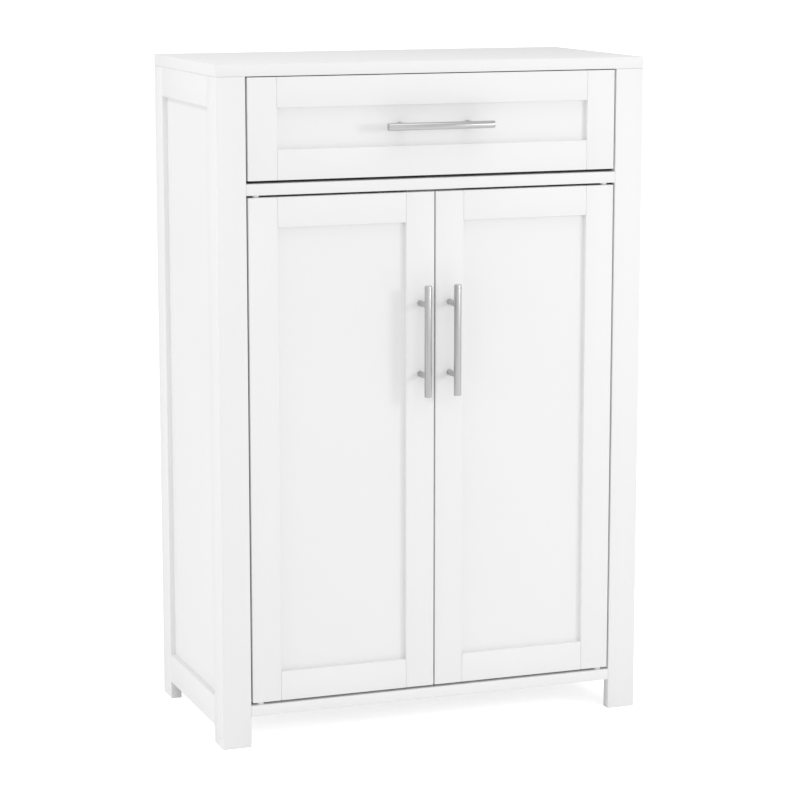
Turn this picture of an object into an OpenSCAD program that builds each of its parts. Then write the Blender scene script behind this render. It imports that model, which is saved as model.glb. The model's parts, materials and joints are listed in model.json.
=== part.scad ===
// Free-standing two-door cabinet with one drawer.
// Four legs and framed side panels carry the boards; the drawer front and both doors are
// frame-and-panel work set flush between the front legs.
// X runs to the right, Y to the back and Z up. The origin is on the floor, in the middle of
// the whole object's footprint, with the handles counted in.

/* [Overall] */
// Width over the legs
cabinet_w = 605; // [500:1:900]
// Depth of the carcass, handles left out
cabinet_d = 300; // [250:1:450]
// Height from the floor to the top face
cabinet_h = 914; // [760:1:1200]

/* [Legs and side frames] */
// Width of each leg, on the front and on the side
leg_w = 40; // [34:1:60]
// Thickness of legs, rails and stiles
frame_t = 15; // [12.5:0.5:20]
// Width of the rails of the side frames
side_rail_w = 40; // [30:1:60]
// Height of the side frames' lower rails above the floor
side_rail_z = 25; // [10:1:60]
// How far the side panels lie behind the face of their frame
side_recess = 7; // [3:0.5:8]
// How far a panel reaches in behind the frame that holds it
panel_lap = 8; // [5:0.5:10]

/* [Boards] */
// Thickness of the top board
top_t = 16; // [14:0.5:25]
// Thickness of the bottom board, the divider and the shelves
board_t = 15; // [14:0.5:20]
// Thickness of the back panel
back_t = 3; // [2:0.5:6]
// Height of the bottom board's underside above the floor
bottom_z = 42.5; // [30:0.5:80]

/* [Doors and drawer front] */
// Height of the drawer front
drawer_front_h = 134; // [110:1:180]
// Width of the stiles of the doors and the drawer front
stile_w = 40; // [30:1:60]
// Width of the rails of the doors and the drawer front
rail_w = 40; // [25:1:60]
// How far their panels lie behind the face of their frame
front_recess = 7; // [3:0.5:8]
// Thickness of their panels
front_panel_t = 5; // [3:0.5:6]
// Play between a panel's edge and the bottom of its groove
panel_play = 1; // [0.5:0.5:2]

/* [Gaps] */
// Gap between a door or the drawer front and the leg beside it
side_gap = 2.5; // [2:0.1:4]
// Gap between the two doors
meeting_gap = 2; // [1.5:0.1:4]
// Gap under the doors
door_bottom_gap = 3.5; // [2:0.1:4]
// Gap over the doors
door_top_gap = 3; // [2:0.1:4]
// Gap under the drawer front
drawer_bottom_gap = 4; // [2:0.1:5]
// Gap over the drawer front
drawer_top_gap = 1.2; // [1:0.1:4]
// Least distance that a turning door keeps from the leg beside it
swing_clearance = 0.3; // [0.3:0.1:0.6]

/* [Door pivots] */
// Diameter of the pivot pins
pin_d = 4; // [3:0.5:5]
// Length of pin held in the door
pin_in_door = 20; // [12:1:30]
// Length of pin that runs in its bushing
pin_in_bush = 8; // [5:1:9]
// Outer diameter of the bushing's barrel
bush_d = 7; // [6:0.5:9]
// Diameter of the bushing's flange
flange_d = 9.5; // [8.5:0.5:11]
// Length of the bushing's barrel
bush_l = 10; // [8:1:11]
// Running clearance round a pin
running_gap = 0.05; // [0.02:0.01:0.1]
// Distance between a flange or magnet and the door that it faces
face_gap = 0.3; // [0.3:0.1:0.6]

/* [Handles] */
// Diameter of the bar
bar_d = 10; // [8:0.5:14]
// Length of the bar
bar_l = 150; // [120:1:200]
// Diameter of the two posts
post_d = 8; // [6:0.5:8]
// Distance between the posts
post_spacing = 96; // [64:1:110]
// Distance from the face that carries the posts to the middle of the bar
bar_standoff = 30; // [22:1:40]
// Distance from the door's top edge down to the middle of its handle
door_handle_drop = 197; // [120:1:300]

/* [Drawer box] */
// Thickness of the drawer's sides, back and inner front
box_t = 12; // [10:0.5:15]
// Height of the drawer box above the lower edge of its front
box_lift = 13; // [8:1:20]
// Distance of the drawer box below the upper edge of its front
box_drop = 21; // [15:1:24]
// Thickness of the drawer bottom
box_bottom_t = 3; // [3:0.5:6]
// Height of the bottom's groove above the lower edge of the sides
box_groove_up = 8; // [6:1:12]
// Depth of the bottom's groove
box_groove_d = 6; // [4:0.5:7]

/* [Drawer slides] */
// Height of a slide's outer member
slide_h = 35; // [35:1:45]
// Width of a slide, from batten to drawer side
slide_w = 12.7; // [12.7:0.1:14]
// Thickness of the slide's steel
slide_t = 1.2; // [1:0.1:1.5]
// Diameter of the bearing balls
ball_d = 3.9; // [3.5:0.1:4]
// Thickness of the ball cage's strip
cage_t = 0.6; // [0.5:0.1:0.8]
// Balls in each row of a cage
balls_in_row = 7; // [4:1:9]
// Distance of the slides behind the drawer front
slide_front_gap = 2; // [1:0.5:5]
// Distance of the slides from the back panel
slide_rear_gap = 30; // [25:1:60]
// Length of slide still engaged with the drawer fully out
slide_overlap = 85; // [60:1:100]
// Height of the battens that carry the slides
batten_h = 50; // [45:1:60]

/* [Shelves] */
// Height of the pins under the lower shelf
lower_pin_z = 286; // [200:1:330]
// Height of the pins under the upper shelf
upper_pin_z = 478; // [400:1:520]
// Diameter of the shelf pins
shelf_pin_d = 5; // [4:0.5:6]
// Depth of the holes for the shelf pins
shelf_hole_depth = 10; // [8:0.5:12]
// Distance between neighbouring pin holes
shelf_hole_pitch = 32; // [25:1:40]
// Holes in each group, above and below a shelf's own hole too
shelf_holes = 3; // [3:2:5]
// Play at each end of a shelf
shelf_play = 1; // [0.9:0.1:3]
// Distance of the shelves from the back panel and from a turning door
shelf_clear = 1; // [1:0.5:5]

/* [Door catch] */
// Width of the catch housing
catch_w = 70; // [60:1:78]
// Depth of the catch housing
catch_d = 14; // [12:1:20]
// Height of the catch housing
catch_h = 13; // [12:1:18]
// Width of each magnet and strike plate
magnet_w = 28; // [20:1:30]
// Height of each magnet
magnet_h = 8; // [6:1:9]
// Thickness of a strike plate
strike_t = 1; // [1:0.1:2]
// Height of a strike plate
strike_h = 11; // [9:1:14]

/* [Fasteners] */
// Diameter of a cam
cam_d = 15; // [12:1:15]
// Depth of a cam in its board
cam_h = 12; // [11:0.5:12.5]
// Distance from a board's end to the middle of its cams
cam_edge = 24; // [20:1:34]
// Diameter of the bore for a cam's bolt
cam_bore_d = 7; // [6:0.5:8]
// Length of bolt thread held in the next piece
cam_thread_l = 11; // [8:1:12]
// Diameter of the handle screws
handle_screw_d = 4; // [3:0.5:4]
// Diameter of the wood screws
wood_screw_d = 3.5; // [3:0.5:4]
// Clearance round screws, bolts, cams and bushings in their holes
drill_gap = 0.05; // [0.02:0.01:0.1]

/* [Hidden] */
$fn = 48;

// Small overrun that keeps a cut from ending in the face it opens.
over = 1;

// Plan: the handles reach in front of the carcass, and the footprint is centred on the origin.
handle_reach = bar_standoff + bar_d / 2;
front_y = (handle_reach - cabinet_d) / 2;
back_y = front_y + cabinet_d;
half_w = cabinet_w / 2;
inner_x = half_w - frame_t;
open_x = half_w - leg_w;
frame_back_y = front_y + frame_t;
back_face_y = back_y - back_t;

// Heights
top_z = cabinet_h - top_t;
drawer_front_z = top_z - drawer_top_gap - drawer_front_h;
divider_z = drawer_front_z - drawer_bottom_gap - board_t;
bottom_face_z = bottom_z + board_t;
side_top_rail_z = top_z - side_rail_w;
side_panel_z0 = side_rail_z + side_rail_w - panel_lap;
side_panel_z1 = side_top_rail_z + panel_lap;

// Doors. A door clears the leg while the corner behind its pivot turns past it.
door_x0 = -open_x + side_gap;
door_x1 = -meeting_gap / 2;
door_z0 = bottom_face_z + door_bottom_gap;
door_z1 = divider_z - door_top_gap;
turn_gap = side_gap - swing_clearance;
pivot_inset = ceil((pow(frame_t / 2, 2) - pow(turn_gap, 2)) / (2 * turn_gap));
pivot_x = door_x0 + pivot_inset;
pivot_y = front_y + frame_t / 2;
door_sweep = sqrt(pow(pivot_inset, 2) + pow(frame_t / 2, 2));
door_handle_x = door_x1 - stile_w / 2;
door_handle_z = door_z1 - door_handle_drop;

// Drawer front and box
drawer_x0 = -open_x + side_gap;
drawer_x1 = -drawer_x0;
drawer_front_z1 = drawer_front_z + drawer_front_h;
drawer_handle_z = drawer_front_z + drawer_front_h / 2;
box_x = open_x - slide_w;
box_z0 = drawer_front_z + box_lift;
box_z1 = drawer_front_z1 - box_drop;
slide_l = cabinet_d - frame_t - slide_front_gap - slide_rear_gap - back_t;
slide_y0 = frame_back_y + slide_front_gap;
slide_y1 = slide_y0 + slide_l;
slide_z = (box_z0 + box_z1) / 2;
box_y1 = slide_y1;
box_bottom_z = box_z0 + box_groove_up;

// Slide section: u runs from the batten to the drawer side, v up from the slide's middle.
drawer_travel = slide_l - slide_overlap;
cage_short = 5;
cage_l = slide_overlap - cage_short;
cage_y0 = slide_y0 + (slide_overlap - cage_l) / 2 + drawer_travel / 2;
outer_flange_u = 9.5;
inner_flange_u = 3.2;
outer_race_v = slide_h / 2 - slide_t;
inner_race_v = outer_race_v - ball_d - 2 * running_gap;
race_lip = 1;
ball_u = (outer_flange_u + inner_flange_u) / 2;
ball_v = (outer_race_v + inner_race_v) / 2;
cage_web_u = 1.7;
cage_flange_u = 9;
slide_screw_inset = 35;

// Shelves and their pins
shelf_front_y = pivot_y + door_sweep + shelf_clear;
shelf_back_y = back_face_y - shelf_clear;
pin_hole_edge = 1.5;
column_inset = leg_w - panel_lap - shelf_pin_d / 2 - pin_hole_edge;
front_column_y = front_y + column_inset;
rear_column_y = back_y - column_inset;
shelf_pin_reach = 7;
shelf_pin_collar_rim = 1.5;
shelf_pin_collar_d = shelf_pin_d + 2 * shelf_pin_collar_rim;
shelf_pin_end_play = 0.5;
shelf_pin_collar_t = shelf_play - 0.2;

// Catch
strike_back_y = frame_back_y + strike_t;
catch_y0 = strike_back_y + face_gap;
catch_z0 = divider_z - catch_h;
magnet_up = 2;
magnet_z0 = catch_z0 + magnet_up;
magnet_depth = 10;
magnet_shift = 2;
magnet_x = door_handle_x + magnet_shift;
strike_drop = 1;
strike_z1 = door_z1 - strike_drop;
strike_z = strike_z1 - strike_h / 2;

// Cams in the side frames' top rails sit just above the panels' upper edge.
cam_wall = 0.5;
top_cam_z = side_panel_z1 + cam_d / 2 + cam_wall;
top_cam_edge = top_z - top_cam_z;
top_cam_y = cabinet_d / 5;
carcass_mid_y = (front_y + back_y) / 2;

// Cam bolts
bolt_head_d = 6;
bolt_head_l = 4;
bolt_neck_d = 4;
bolt_thread_d = 5;

// Screws. A screw's hold is the length of it in the last piece that it reaches, and its cover is
// the wood left beyond its tip.
back_screw_l = 15;
slide_screw_l = 15;
wood_screw_hold = 10;
front_screw_cover = 4;
box_screw_cover = 1;
handle_screw_play = 0.5;
handle_head_d = 8;
handle_head_h = 2.5;
post_bore_l = 12;
screw_in_post = 10;
wood_head_d = 6.5;
wood_head_h = 2;
catch_screw_d = 2.5;
catch_head_d = 3;
catch_head_h = 0.5;
catch_screw_edge = 2;
strike_screw_d = 3;
strike_head_d = 5;
slide_head_h = slide_t;
back_screw_x = [for (i = [-3 : 2 : 3]) i * inner_x / 4];
fix_wall = 0.75;
fix_clear = wood_screw_d / 2 + fix_wall;
front_fix_z = [drawer_front_z + rail_w - panel_lap - fix_clear,
               drawer_front_z1 - rail_w + panel_lap + fix_clear];
front_fix_x = box_x * 2 / 3;

// Colours
lacquer = [0.95, 0.95, 0.94];
raw_board = [0.88, 0.86, 0.82];
nickel = [0.72, 0.71, 0.69];
zinc = [0.66, 0.67, 0.69];
nylon = [0.93, 0.93, 0.90];
ferrite = [0.28, 0.28, 0.29];

// ---------------------------------------------------------------- general shapes

module block(x0, x1, y0, y1, z0, z1) {
    translate([x0, y0, z0]) cube([x1 - x0, y1 - y0, z1 - z0]);
}

module rod_x(x0, x1, y, z, d) {
    translate([x0, y, z]) rotate([0, 90, 0]) cylinder(h = x1 - x0, d = d);
}

module rod_y(x, y0, y1, z, d) {
    translate([x, y0, z]) rotate([-90, 0, 0]) cylinder(h = y1 - y0, d = d);
}

module rod_z(x, y, z0, z1, d) {
    translate([x, y, z0]) cylinder(h = z1 - z0, d = d);
}

// Sweeps an outline drawn in X and Z along Y.
module along_y(y0, y1) {
    translate([0, y1, 0]) rotate([90, 0, 0]) linear_extrude(height = y1 - y0) children();
}

module on_right() {
    mirror([1, 0, 0]) children();
}

module both_sides() {
    children();
    on_right() children();
}

// Head facing +Z at height 0, point down. The gap widens it into the hole it needs.
module flat_screw(length, d, head_d, head_h, gap = 0) {
    rotate_extrude()
        polygon([
            [0, 0], [head_d / 2 + gap, 0], [d / 2 + gap, -head_h],
            [d / 2 + gap, -length], [0, -length]
        ]);
}

module pan_screw(length, d, head_d, head_h) {
    soft = head_h / 3;
    rotate_extrude()
        polygon([
            [0, head_h], [head_d / 2 - soft, head_h], [head_d / 2, head_h - soft],
            [head_d / 2, 0], [d / 2, 0], [d / 2, -length], [0, -length]
        ]);
}

// Cam and bolt. The cam's open face is at height 0 and its body goes up; the bolt runs along +X,
// half a board up, and its thread starts at the distance "edge".
module cam_fitting(edge, mid) {
    slot_w = 1.5;
    slot_depth = 2;
    head = bolt_head_d / 2;
    neck = bolt_neck_d / 2;
    thread = bolt_thread_d / 2;
    tip = edge + cam_thread_l;
    difference() {
        cylinder(h = cam_h, d = cam_d);
        translate([-cam_d, 0, mid]) rotate([0, 90, 0]) cylinder(h = 2 * cam_d, d = cam_bore_d);
        translate([-cam_d / 3, -slot_w / 2, -over])
            cube([cam_d * 2 / 3, slot_w, over + slot_depth]);
    }
    translate([0, 0, mid]) rotate([0, 90, 0])
        rotate_extrude()
            polygon([
                [0, -bolt_head_l / 2], [head, -bolt_head_l / 2], [head, bolt_head_l / 4],
                [neck, bolt_head_l / 2], [neck, edge], [thread, edge], [thread, tip], [0, tip]
            ]);
}

// The holes that a cam and its bolt need.
module cam_holes(edge, mid) {
    translate([0, 0, -over]) cylinder(h = cam_h + over + drill_gap, d = cam_d + 2 * drill_gap);
    translate([0, 0, mid]) rotate([0, 90, 0]) cylinder(h = edge + over, d = cam_bore_d);
}

module bolt_hole(edge, mid) {
    translate([edge - over, 0, mid]) rotate([0, 90, 0])
        cylinder(h = cam_thread_l + over + drill_gap, d = bolt_thread_d + 2 * drill_gap);
}

// Puts a child at each cam of one board, with +X towards the leg.
module at_board_cams(z) {
    for (side = [0, 1])
        mirror([side, 0, 0])
            for (y = [front_column_y, rear_column_y])
                translate([inner_x - cam_edge, y, z]) children();
}

// Puts a child at each cam of the side frames' top rails, with +X turned up to the top board.
module at_top_cams() {
    for (side = [0, 1])
        mirror([side, 0, 0])
            for (y = [-top_cam_y, top_cam_y])
                translate([-inner_x, carcass_mid_y + y, top_cam_z]) rotate([0, -90, 0]) children();
}

// ---------------------------------------------------------------- frame-and-panel fronts

// Space for the panel and for the rails' stub tenons, along a whole front.
module front_groove(x0, x1, z0, z1) {
    block(x0, x1, front_y + front_recess, front_y + front_recess + front_panel_t, z0, z1);
}

module front_stile_left(x0, z0, z1) {
    difference() {
        block(x0, x0 + stile_w, front_y, frame_back_y, z0, z1);
        front_groove(x0 + stile_w - panel_lap, x0 + stile_w + over, z0 - over, z1 + over);
    }
}

module front_stile_right(x1, z0, z1) {
    difference() {
        block(x1 - stile_w, x1, front_y, frame_back_y, z0, z1);
        front_groove(x1 - stile_w - over, x1 - stile_w + panel_lap, z0 - over, z1 + over);
    }
}

// Rail between two stiles, its stub tenons in their grooves. The panel's groove is in its upper
// edge on a bottom rail and in its lower edge on a top rail.
module front_rail(x0, x1, z0, is_top) {
    tenon = panel_lap - panel_play / 2;
    groove_z = is_top ? z0 : z0 + rail_w - panel_lap;
    difference() {
        union() {
            block(x0 + stile_w, x1 - stile_w, front_y, frame_back_y, z0, z0 + rail_w);
            front_groove(x0 + stile_w - tenon, x1 - stile_w + tenon, z0, z0 + rail_w);
        }
        front_groove(x0, x1, is_top ? z0 - over : groove_z,
                     is_top ? groove_z + panel_lap : groove_z + panel_lap + over);
    }
}

// The panel stands on the bottom of the lower groove and has play at the other three edges.
module front_panel(x0, x1, z0, z1) {
    reach = panel_lap - panel_play;
    front_groove(x0 + stile_w - reach, x1 - stile_w + reach,
                 z0 + rail_w - panel_lap, z1 - rail_w + reach);
}

// ---------------------------------------------------------------- handles

// Bar along Z on two posts, seated on the plane y = 0 and standing out towards -Y.
module bar_handle() {
    chamfer = 0.6;
    difference() {
        union() {
            translate([0, -bar_standoff, 0])
                rotate_extrude()
                    polygon([
                        [0, -bar_l / 2], [bar_d / 2 - chamfer, -bar_l / 2],
                        [bar_d / 2, -bar_l / 2 + chamfer], [bar_d / 2, bar_l / 2 - chamfer],
                        [bar_d / 2 - chamfer, bar_l / 2], [0, bar_l / 2]
                    ]);
            for (z = [-post_spacing / 2, post_spacing / 2]) rod_y(0, -bar_standoff, 0, z, post_d);
        }
        for (z = [-post_spacing / 2, post_spacing / 2])
            rod_y(0, -post_bore_l, over, z, handle_screw_d + 2 * drill_gap);
    }
}

// The screws that hold a handle, from the plane y = depth, with the handle seated on y = 0.
module handle_screws(depth) {
    for (z = [-post_spacing / 2, post_spacing / 2])
        translate([0, depth, z]) rotate([-90, 0, 0])
            pan_screw(depth + screw_in_post, handle_screw_d, handle_head_d, handle_head_h);
}

module handle_screw_holes(depth) {
    for (z = [-post_spacing / 2, post_spacing / 2])
        rod_y(0, -over, depth + over, z, handle_screw_d + handle_screw_play);
}

// ---------------------------------------------------------------- screws of the carcass

module back_screws(gap = 0) {
    for (x = back_screw_x, z = [bottom_z + board_t / 2, divider_z + board_t / 2,
                                top_z - side_rail_w / 2])
        translate([x, back_y, z]) rotate([-90, 0, 0])
            flat_screw(back_screw_l, wood_screw_d, wood_head_d, wood_head_h, gap);
}

module batten_screws(gap = 0) {
    for (y = [front_column_y, rear_column_y])
        translate([-open_x, y, slide_z - batten_h / 4]) rotate([0, 90, 0])
            flat_screw(leg_w - frame_t + wood_screw_hold, wood_screw_d,
                       wood_head_d, wood_head_h, gap);
}

module outer_slide_screws(gap = 0) {
    for (y = [slide_y0 + slide_screw_inset, slide_y1 - slide_screw_inset])
        translate([-open_x + slide_t, y, slide_z]) rotate([0, 90, 0])
            flat_screw(slide_screw_l, wood_screw_d, wood_head_d, slide_head_h, gap);
}

module inner_slide_screws(gap = 0) {
    for (y = [slide_y0 + slide_screw_inset, slide_y1 - slide_screw_inset])
        translate([-box_x - slide_t, y, slide_z]) rotate([0, -90, 0])
            flat_screw(box_t - box_screw_cover, wood_screw_d, wood_head_d, slide_head_h, gap);
}

module catch_screws(gap = 0) {
    for (x = [-catch_w / 4, catch_w / 4])
        translate([x, catch_y0 + catch_d - catch_screw_edge, catch_z0]) rotate([180, 0, 0])
            flat_screw(catch_h + wood_screw_hold, catch_screw_d, catch_head_d, catch_head_h, gap);
}

module front_fixing_screws(gap = 0) {
    for (x = [-front_fix_x, front_fix_x], z = front_fix_z)
        translate([x, frame_back_y + box_t, z]) rotate([-90, 0, 0])
            flat_screw(box_t + frame_t - front_screw_cover, wood_screw_d,
                       wood_head_d, wood_head_h, gap);
}

// ---------------------------------------------------------------- carcass

module top_board() {
    color(lacquer)
        difference() {
            block(-half_w, half_w, front_y, back_y, top_z, cabinet_h);
            at_top_cams() bolt_hole(top_cam_edge, frame_t / 2);
        }
}

// Pin holes in the inner face of the left-hand legs, in a column at one depth.
module pin_holes(y) {
    reach = (shelf_holes - 1) / 2;
    for (z = [lower_pin_z, upper_pin_z], i = [-reach : reach])
        rod_x(-inner_x - shelf_hole_depth, -inner_x + over, y, z + i * shelf_hole_pitch,
              shelf_pin_d + 2 * drill_gap);
}

module cam_bolt_holes_in_legs() {
    for (z = [bottom_z, divider_z]) at_board_cams(z) bolt_hole(cam_edge, board_t / 2);
}

// Two boards of leg width, joined at the corner, with the side panel's rebate at the back.
module front_leg() {
    difference() {
        linear_extrude(height = top_z)
            polygon([
                [-half_w, front_y], [-open_x, front_y], [-open_x, frame_back_y],
                [-inner_x, frame_back_y], [-inner_x, front_y + leg_w], [-half_w, front_y + leg_w]
            ]);
        block(-half_w + side_recess, -inner_x + over, front_y + leg_w - panel_lap,
              front_y + leg_w + over, side_panel_z0, side_panel_z1);
        pin_holes(front_column_y);
        cam_bolt_holes_in_legs();
        batten_screws(drill_gap);
    }
}

module rear_leg() {
    difference() {
        block(-half_w, -inner_x, back_y - leg_w, back_y, 0, top_z);
        block(-half_w + side_recess, -inner_x + over, back_y - leg_w - over,
              back_y - leg_w + panel_lap, side_panel_z0, side_panel_z1);
        pin_holes(rear_column_y);
        cam_bolt_holes_in_legs();
        batten_screws(drill_gap);
    }
}

module front_left_leg() { color(lacquer) front_leg(); }
module front_right_leg() { color(lacquer) on_right() front_leg(); }
module rear_left_leg() { color(lacquer) rear_leg(); }
module rear_right_leg() { color(lacquer) on_right() rear_leg(); }

module side_top_rail() {
    difference() {
        block(-half_w, -inner_x, front_y + leg_w, back_y - leg_w, side_top_rail_z, top_z);
        block(-half_w + side_recess, -inner_x + over, front_y, back_y,
              side_top_rail_z - over, side_panel_z1);
        at_top_cams() cam_holes(top_cam_edge, frame_t / 2);
    }
}

module side_bottom_rail() {
    difference() {
        block(-half_w, -inner_x, front_y + leg_w, back_y - leg_w,
              side_rail_z, side_rail_z + side_rail_w);
        block(-half_w + side_recess, -inner_x + over, front_y, back_y,
              side_panel_z0, side_rail_z + side_rail_w + over);
    }
}

// The panel lies in the frame's rebates, flush with the inner faces of the legs.
module side_panel() {
    edge_play = panel_play / 2;
    block(-half_w + side_recess, -inner_x,
          front_y + leg_w - panel_lap + edge_play, back_y - leg_w + panel_lap - edge_play,
          side_panel_z0, side_panel_z1 - edge_play);
}

module left_side_top_rail() { color(lacquer) side_top_rail(); }
module left_side_bottom_rail() { color(lacquer) side_bottom_rail(); }
module left_side_panel() { color(lacquer) side_panel(); }
module right_side_top_rail() { color(lacquer) on_right() side_top_rail(); }
module right_side_bottom_rail() { color(lacquer) on_right() side_bottom_rail(); }
module right_side_panel() { color(lacquer) on_right() side_panel(); }

// Board between the legs in front and between the side frames behind them.
module carcass_board(z) {
    difference() {
        translate([0, 0, z]) linear_extrude(height = board_t)
            polygon([
                [-open_x, front_y], [open_x, front_y], [open_x, frame_back_y],
                [inner_x, frame_back_y], [inner_x, back_face_y], [-inner_x, back_face_y],
                [-inner_x, frame_back_y], [-open_x, frame_back_y]
            ]);
        at_board_cams(z) cam_holes(cam_edge, board_t / 2);
        back_screws(drill_gap);
        for (x = [-pivot_x, pivot_x]) bushing_holes(x);
    }
}

// The two bushings on one door's pivot line, in their boards.
module bushing_holes(x) {
    rod_z(x, pivot_y, bottom_face_z - bush_l, bottom_face_z + over, bush_d + 2 * drill_gap);
    rod_z(x, pivot_y, divider_z - over, divider_z + bush_l, bush_d + 2 * drill_gap);
}

module divider_board() {
    color(lacquer)
        difference() {
            carcass_board(divider_z);
            catch_screws(drill_gap);
        }
}

module bottom_board() { color(lacquer) carcass_board(bottom_z); }

module back_panel() {
    color(lacquer)
        difference() {
            block(-inner_x + panel_play / 2, inner_x - panel_play / 2, back_face_y, back_y,
                  bottom_z, top_z);
            back_screws(drill_gap);
        }
}

module rear_top_rail() {
    color(raw_board)
        difference() {
            block(-inner_x, inner_x, back_face_y - frame_t, back_face_y,
                  top_z - side_rail_w, top_z);
            back_screws(drill_gap);
        }
}

module shelf(pin_z) {
    z = pin_z + shelf_pin_d / 2;
    block(-inner_x + shelf_play, inner_x - shelf_play, shelf_front_y, shelf_back_y,
          z, z + board_t);
}

module lower_shelf() { color(lacquer) shelf(lower_pin_z); }
module upper_shelf() { color(lacquer) shelf(upper_pin_z); }

module shelf_pins() {
    r = shelf_pin_d / 2;
    collar = shelf_pin_collar_d / 2;
    tip = shelf_pin_end_play - shelf_hole_depth;
    color(zinc)
        both_sides()
            for (y = [front_column_y, rear_column_y], z = [lower_pin_z, upper_pin_z])
                translate([-inner_x, y, z]) rotate([0, 90, 0])
                    rotate_extrude()
                        polygon([
                            [0, tip], [r, tip], [r, 0], [collar, 0],
                            [collar, shelf_pin_collar_t], [r, shelf_pin_collar_t],
                            [r, shelf_pin_reach], [0, shelf_pin_reach]
                        ]);
}

module runner_battens() {
    color(raw_board)
        both_sides()
            difference() {
                block(-inner_x, -open_x, frame_back_y, back_face_y,
                      slide_z - batten_h / 2, slide_z + batten_h / 2);
                batten_screws(drill_gap);
                outer_slide_screws(drill_gap);
            }
}

module pivot_bushings() {
    flange_lower = door_bottom_gap - face_gap;
    flange_upper = door_top_gap - face_gap;
    bore_d = pin_d + 2 * running_gap;
    color(nylon)
        for (x = [-pivot_x, pivot_x]) {
            difference() {
                union() {
                    rod_z(x, pivot_y, bottom_face_z - bush_l, bottom_face_z + flange_lower,
                          bush_d);
                    rod_z(x, pivot_y, bottom_face_z, bottom_face_z + flange_lower, flange_d);
                }
                rod_z(x, pivot_y, bottom_face_z - bush_l - over, bottom_face_z + flange_lower + over,
                      bore_d);
            }
            difference() {
                union() {
                    rod_z(x, pivot_y, divider_z - flange_upper, divider_z + bush_l, bush_d);
                    rod_z(x, pivot_y, divider_z - flange_upper, divider_z, flange_d);
                }
                rod_z(x, pivot_y, divider_z - flange_upper - over, divider_z + bush_l + over, bore_d);
            }
        }
}

// One magnet, or with a length in front the pocket that it lies in.
module magnet(x, front = 0) {
    block(x - magnet_w / 2, x + magnet_w / 2, catch_y0 - front, catch_y0 + magnet_depth,
          magnet_z0, magnet_z0 + magnet_h);
}

module catch_housing() {
    color(nylon)
        difference() {
            block(-catch_w / 2, catch_w / 2, catch_y0, catch_y0 + catch_d, catch_z0, divider_z);
            for (x = [magnet_x, -magnet_x]) magnet(x, over);
            catch_screws(drill_gap);
        }
}

module catch_magnets() {
    color(ferrite) for (x = [magnet_x, -magnet_x]) magnet(x);
}

module cam_fittings() {
    color(zinc) {
        for (z = [bottom_z, divider_z]) at_board_cams(z) cam_fitting(cam_edge, board_t / 2);
        at_top_cams() cam_fitting(top_cam_edge, frame_t / 2);
    }
}

module carcass_screws() {
    color(zinc) {
        back_screws();
        catch_screws();
        both_sides() {
            batten_screws();
            outer_slide_screws();
        }
    }
}

// ---------------------------------------------------------------- drawer slides

// Section of one member: an open channel with a lip at the end of each flange.
module outer_section() {
    translate([-open_x, slide_z]) {
        difference() {
            translate([0, -slide_h / 2]) square([outer_flange_u, slide_h]);
            translate([slide_t, -outer_race_v]) square([outer_flange_u, 2 * outer_race_v]);
        }
        for (v = [outer_race_v - race_lip, -outer_race_v - slide_t])
            translate([outer_flange_u - slide_t, v]) square([slide_t, race_lip + slide_t]);
    }
}

module inner_section() {
    translate([-open_x, slide_z]) {
        difference() {
            translate([inner_flange_u, -inner_race_v])
                square([slide_w - inner_flange_u, 2 * inner_race_v]);
            translate([inner_flange_u - over, -inner_race_v + slide_t])
                square([slide_w - inner_flange_u - slide_t + over, 2 * (inner_race_v - slide_t)]);
        }
        for (v = [inner_race_v - slide_t, -inner_race_v - race_lip])
            translate([inner_flange_u, v]) square([slide_t, race_lip + slide_t]);
    }
}

module cage_section() {
    translate([-open_x, slide_z])
        difference() {
            translate([cage_web_u, -ball_v - cage_t / 2])
                square([cage_flange_u - cage_web_u, 2 * ball_v + cage_t]);
            translate([cage_web_u + cage_t, -ball_v + cage_t / 2])
                square([cage_flange_u, 2 * ball_v - cage_t]);
        }
}

module slide_outer() {
    difference() {
        along_y(slide_y0, slide_y1) outer_section();
        outer_slide_screws(drill_gap);
    }
}

module slide_inner() {
    difference() {
        along_y(slide_y0, slide_y1) inner_section();
        inner_slide_screws(drill_gap);
    }
}

// Strip cage with a row of balls above and below. It runs half as far as the drawer.
module slide_cage() {
    pitch = cage_l / balls_in_row;
    ball_gap = 2 * running_gap;
    difference() {
        along_y(cage_y0, cage_y0 + cage_l) cage_section();
        for (i = [0 : balls_in_row - 1])
            rod_z(-open_x + ball_u, cage_y0 + (i + 0.5) * pitch,
                  slide_z - slide_h, slide_z + slide_h, ball_d + ball_gap);
    }
    for (i = [0 : balls_in_row - 1], v = [-ball_v, ball_v])
        translate([-open_x + ball_u, cage_y0 + (i + 0.5) * pitch, slide_z + v]) sphere(d = ball_d);
}

module left_slide_outer() { color(zinc) slide_outer(); }
module right_slide_outer() { color(zinc) on_right() slide_outer(); }
module left_slide_inner() { color(zinc) slide_inner(); }
module right_slide_inner() { color(zinc) on_right() slide_inner(); }
module left_slide_cage() { color(zinc) slide_cage(); }
module right_slide_cage() { color(zinc) on_right() slide_cage(); }

// ---------------------------------------------------------------- drawer

module drawer_front_left_stile() {
    color(lacquer) front_stile_left(drawer_x0, drawer_front_z, drawer_front_z1);
}

module drawer_front_right_stile() {
    color(lacquer) front_stile_right(drawer_x1, drawer_front_z, drawer_front_z1);
}

module drawer_front_top_rail() {
    color(lacquer)
        difference() {
            front_rail(drawer_x0, drawer_x1, drawer_front_z1 - rail_w, true);
            front_fixing_screws(drill_gap);
        }
}

module drawer_front_bottom_rail() {
    color(lacquer)
        difference() {
            front_rail(drawer_x0, drawer_x1, drawer_front_z, false);
            front_fixing_screws(drill_gap);
        }
}

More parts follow.
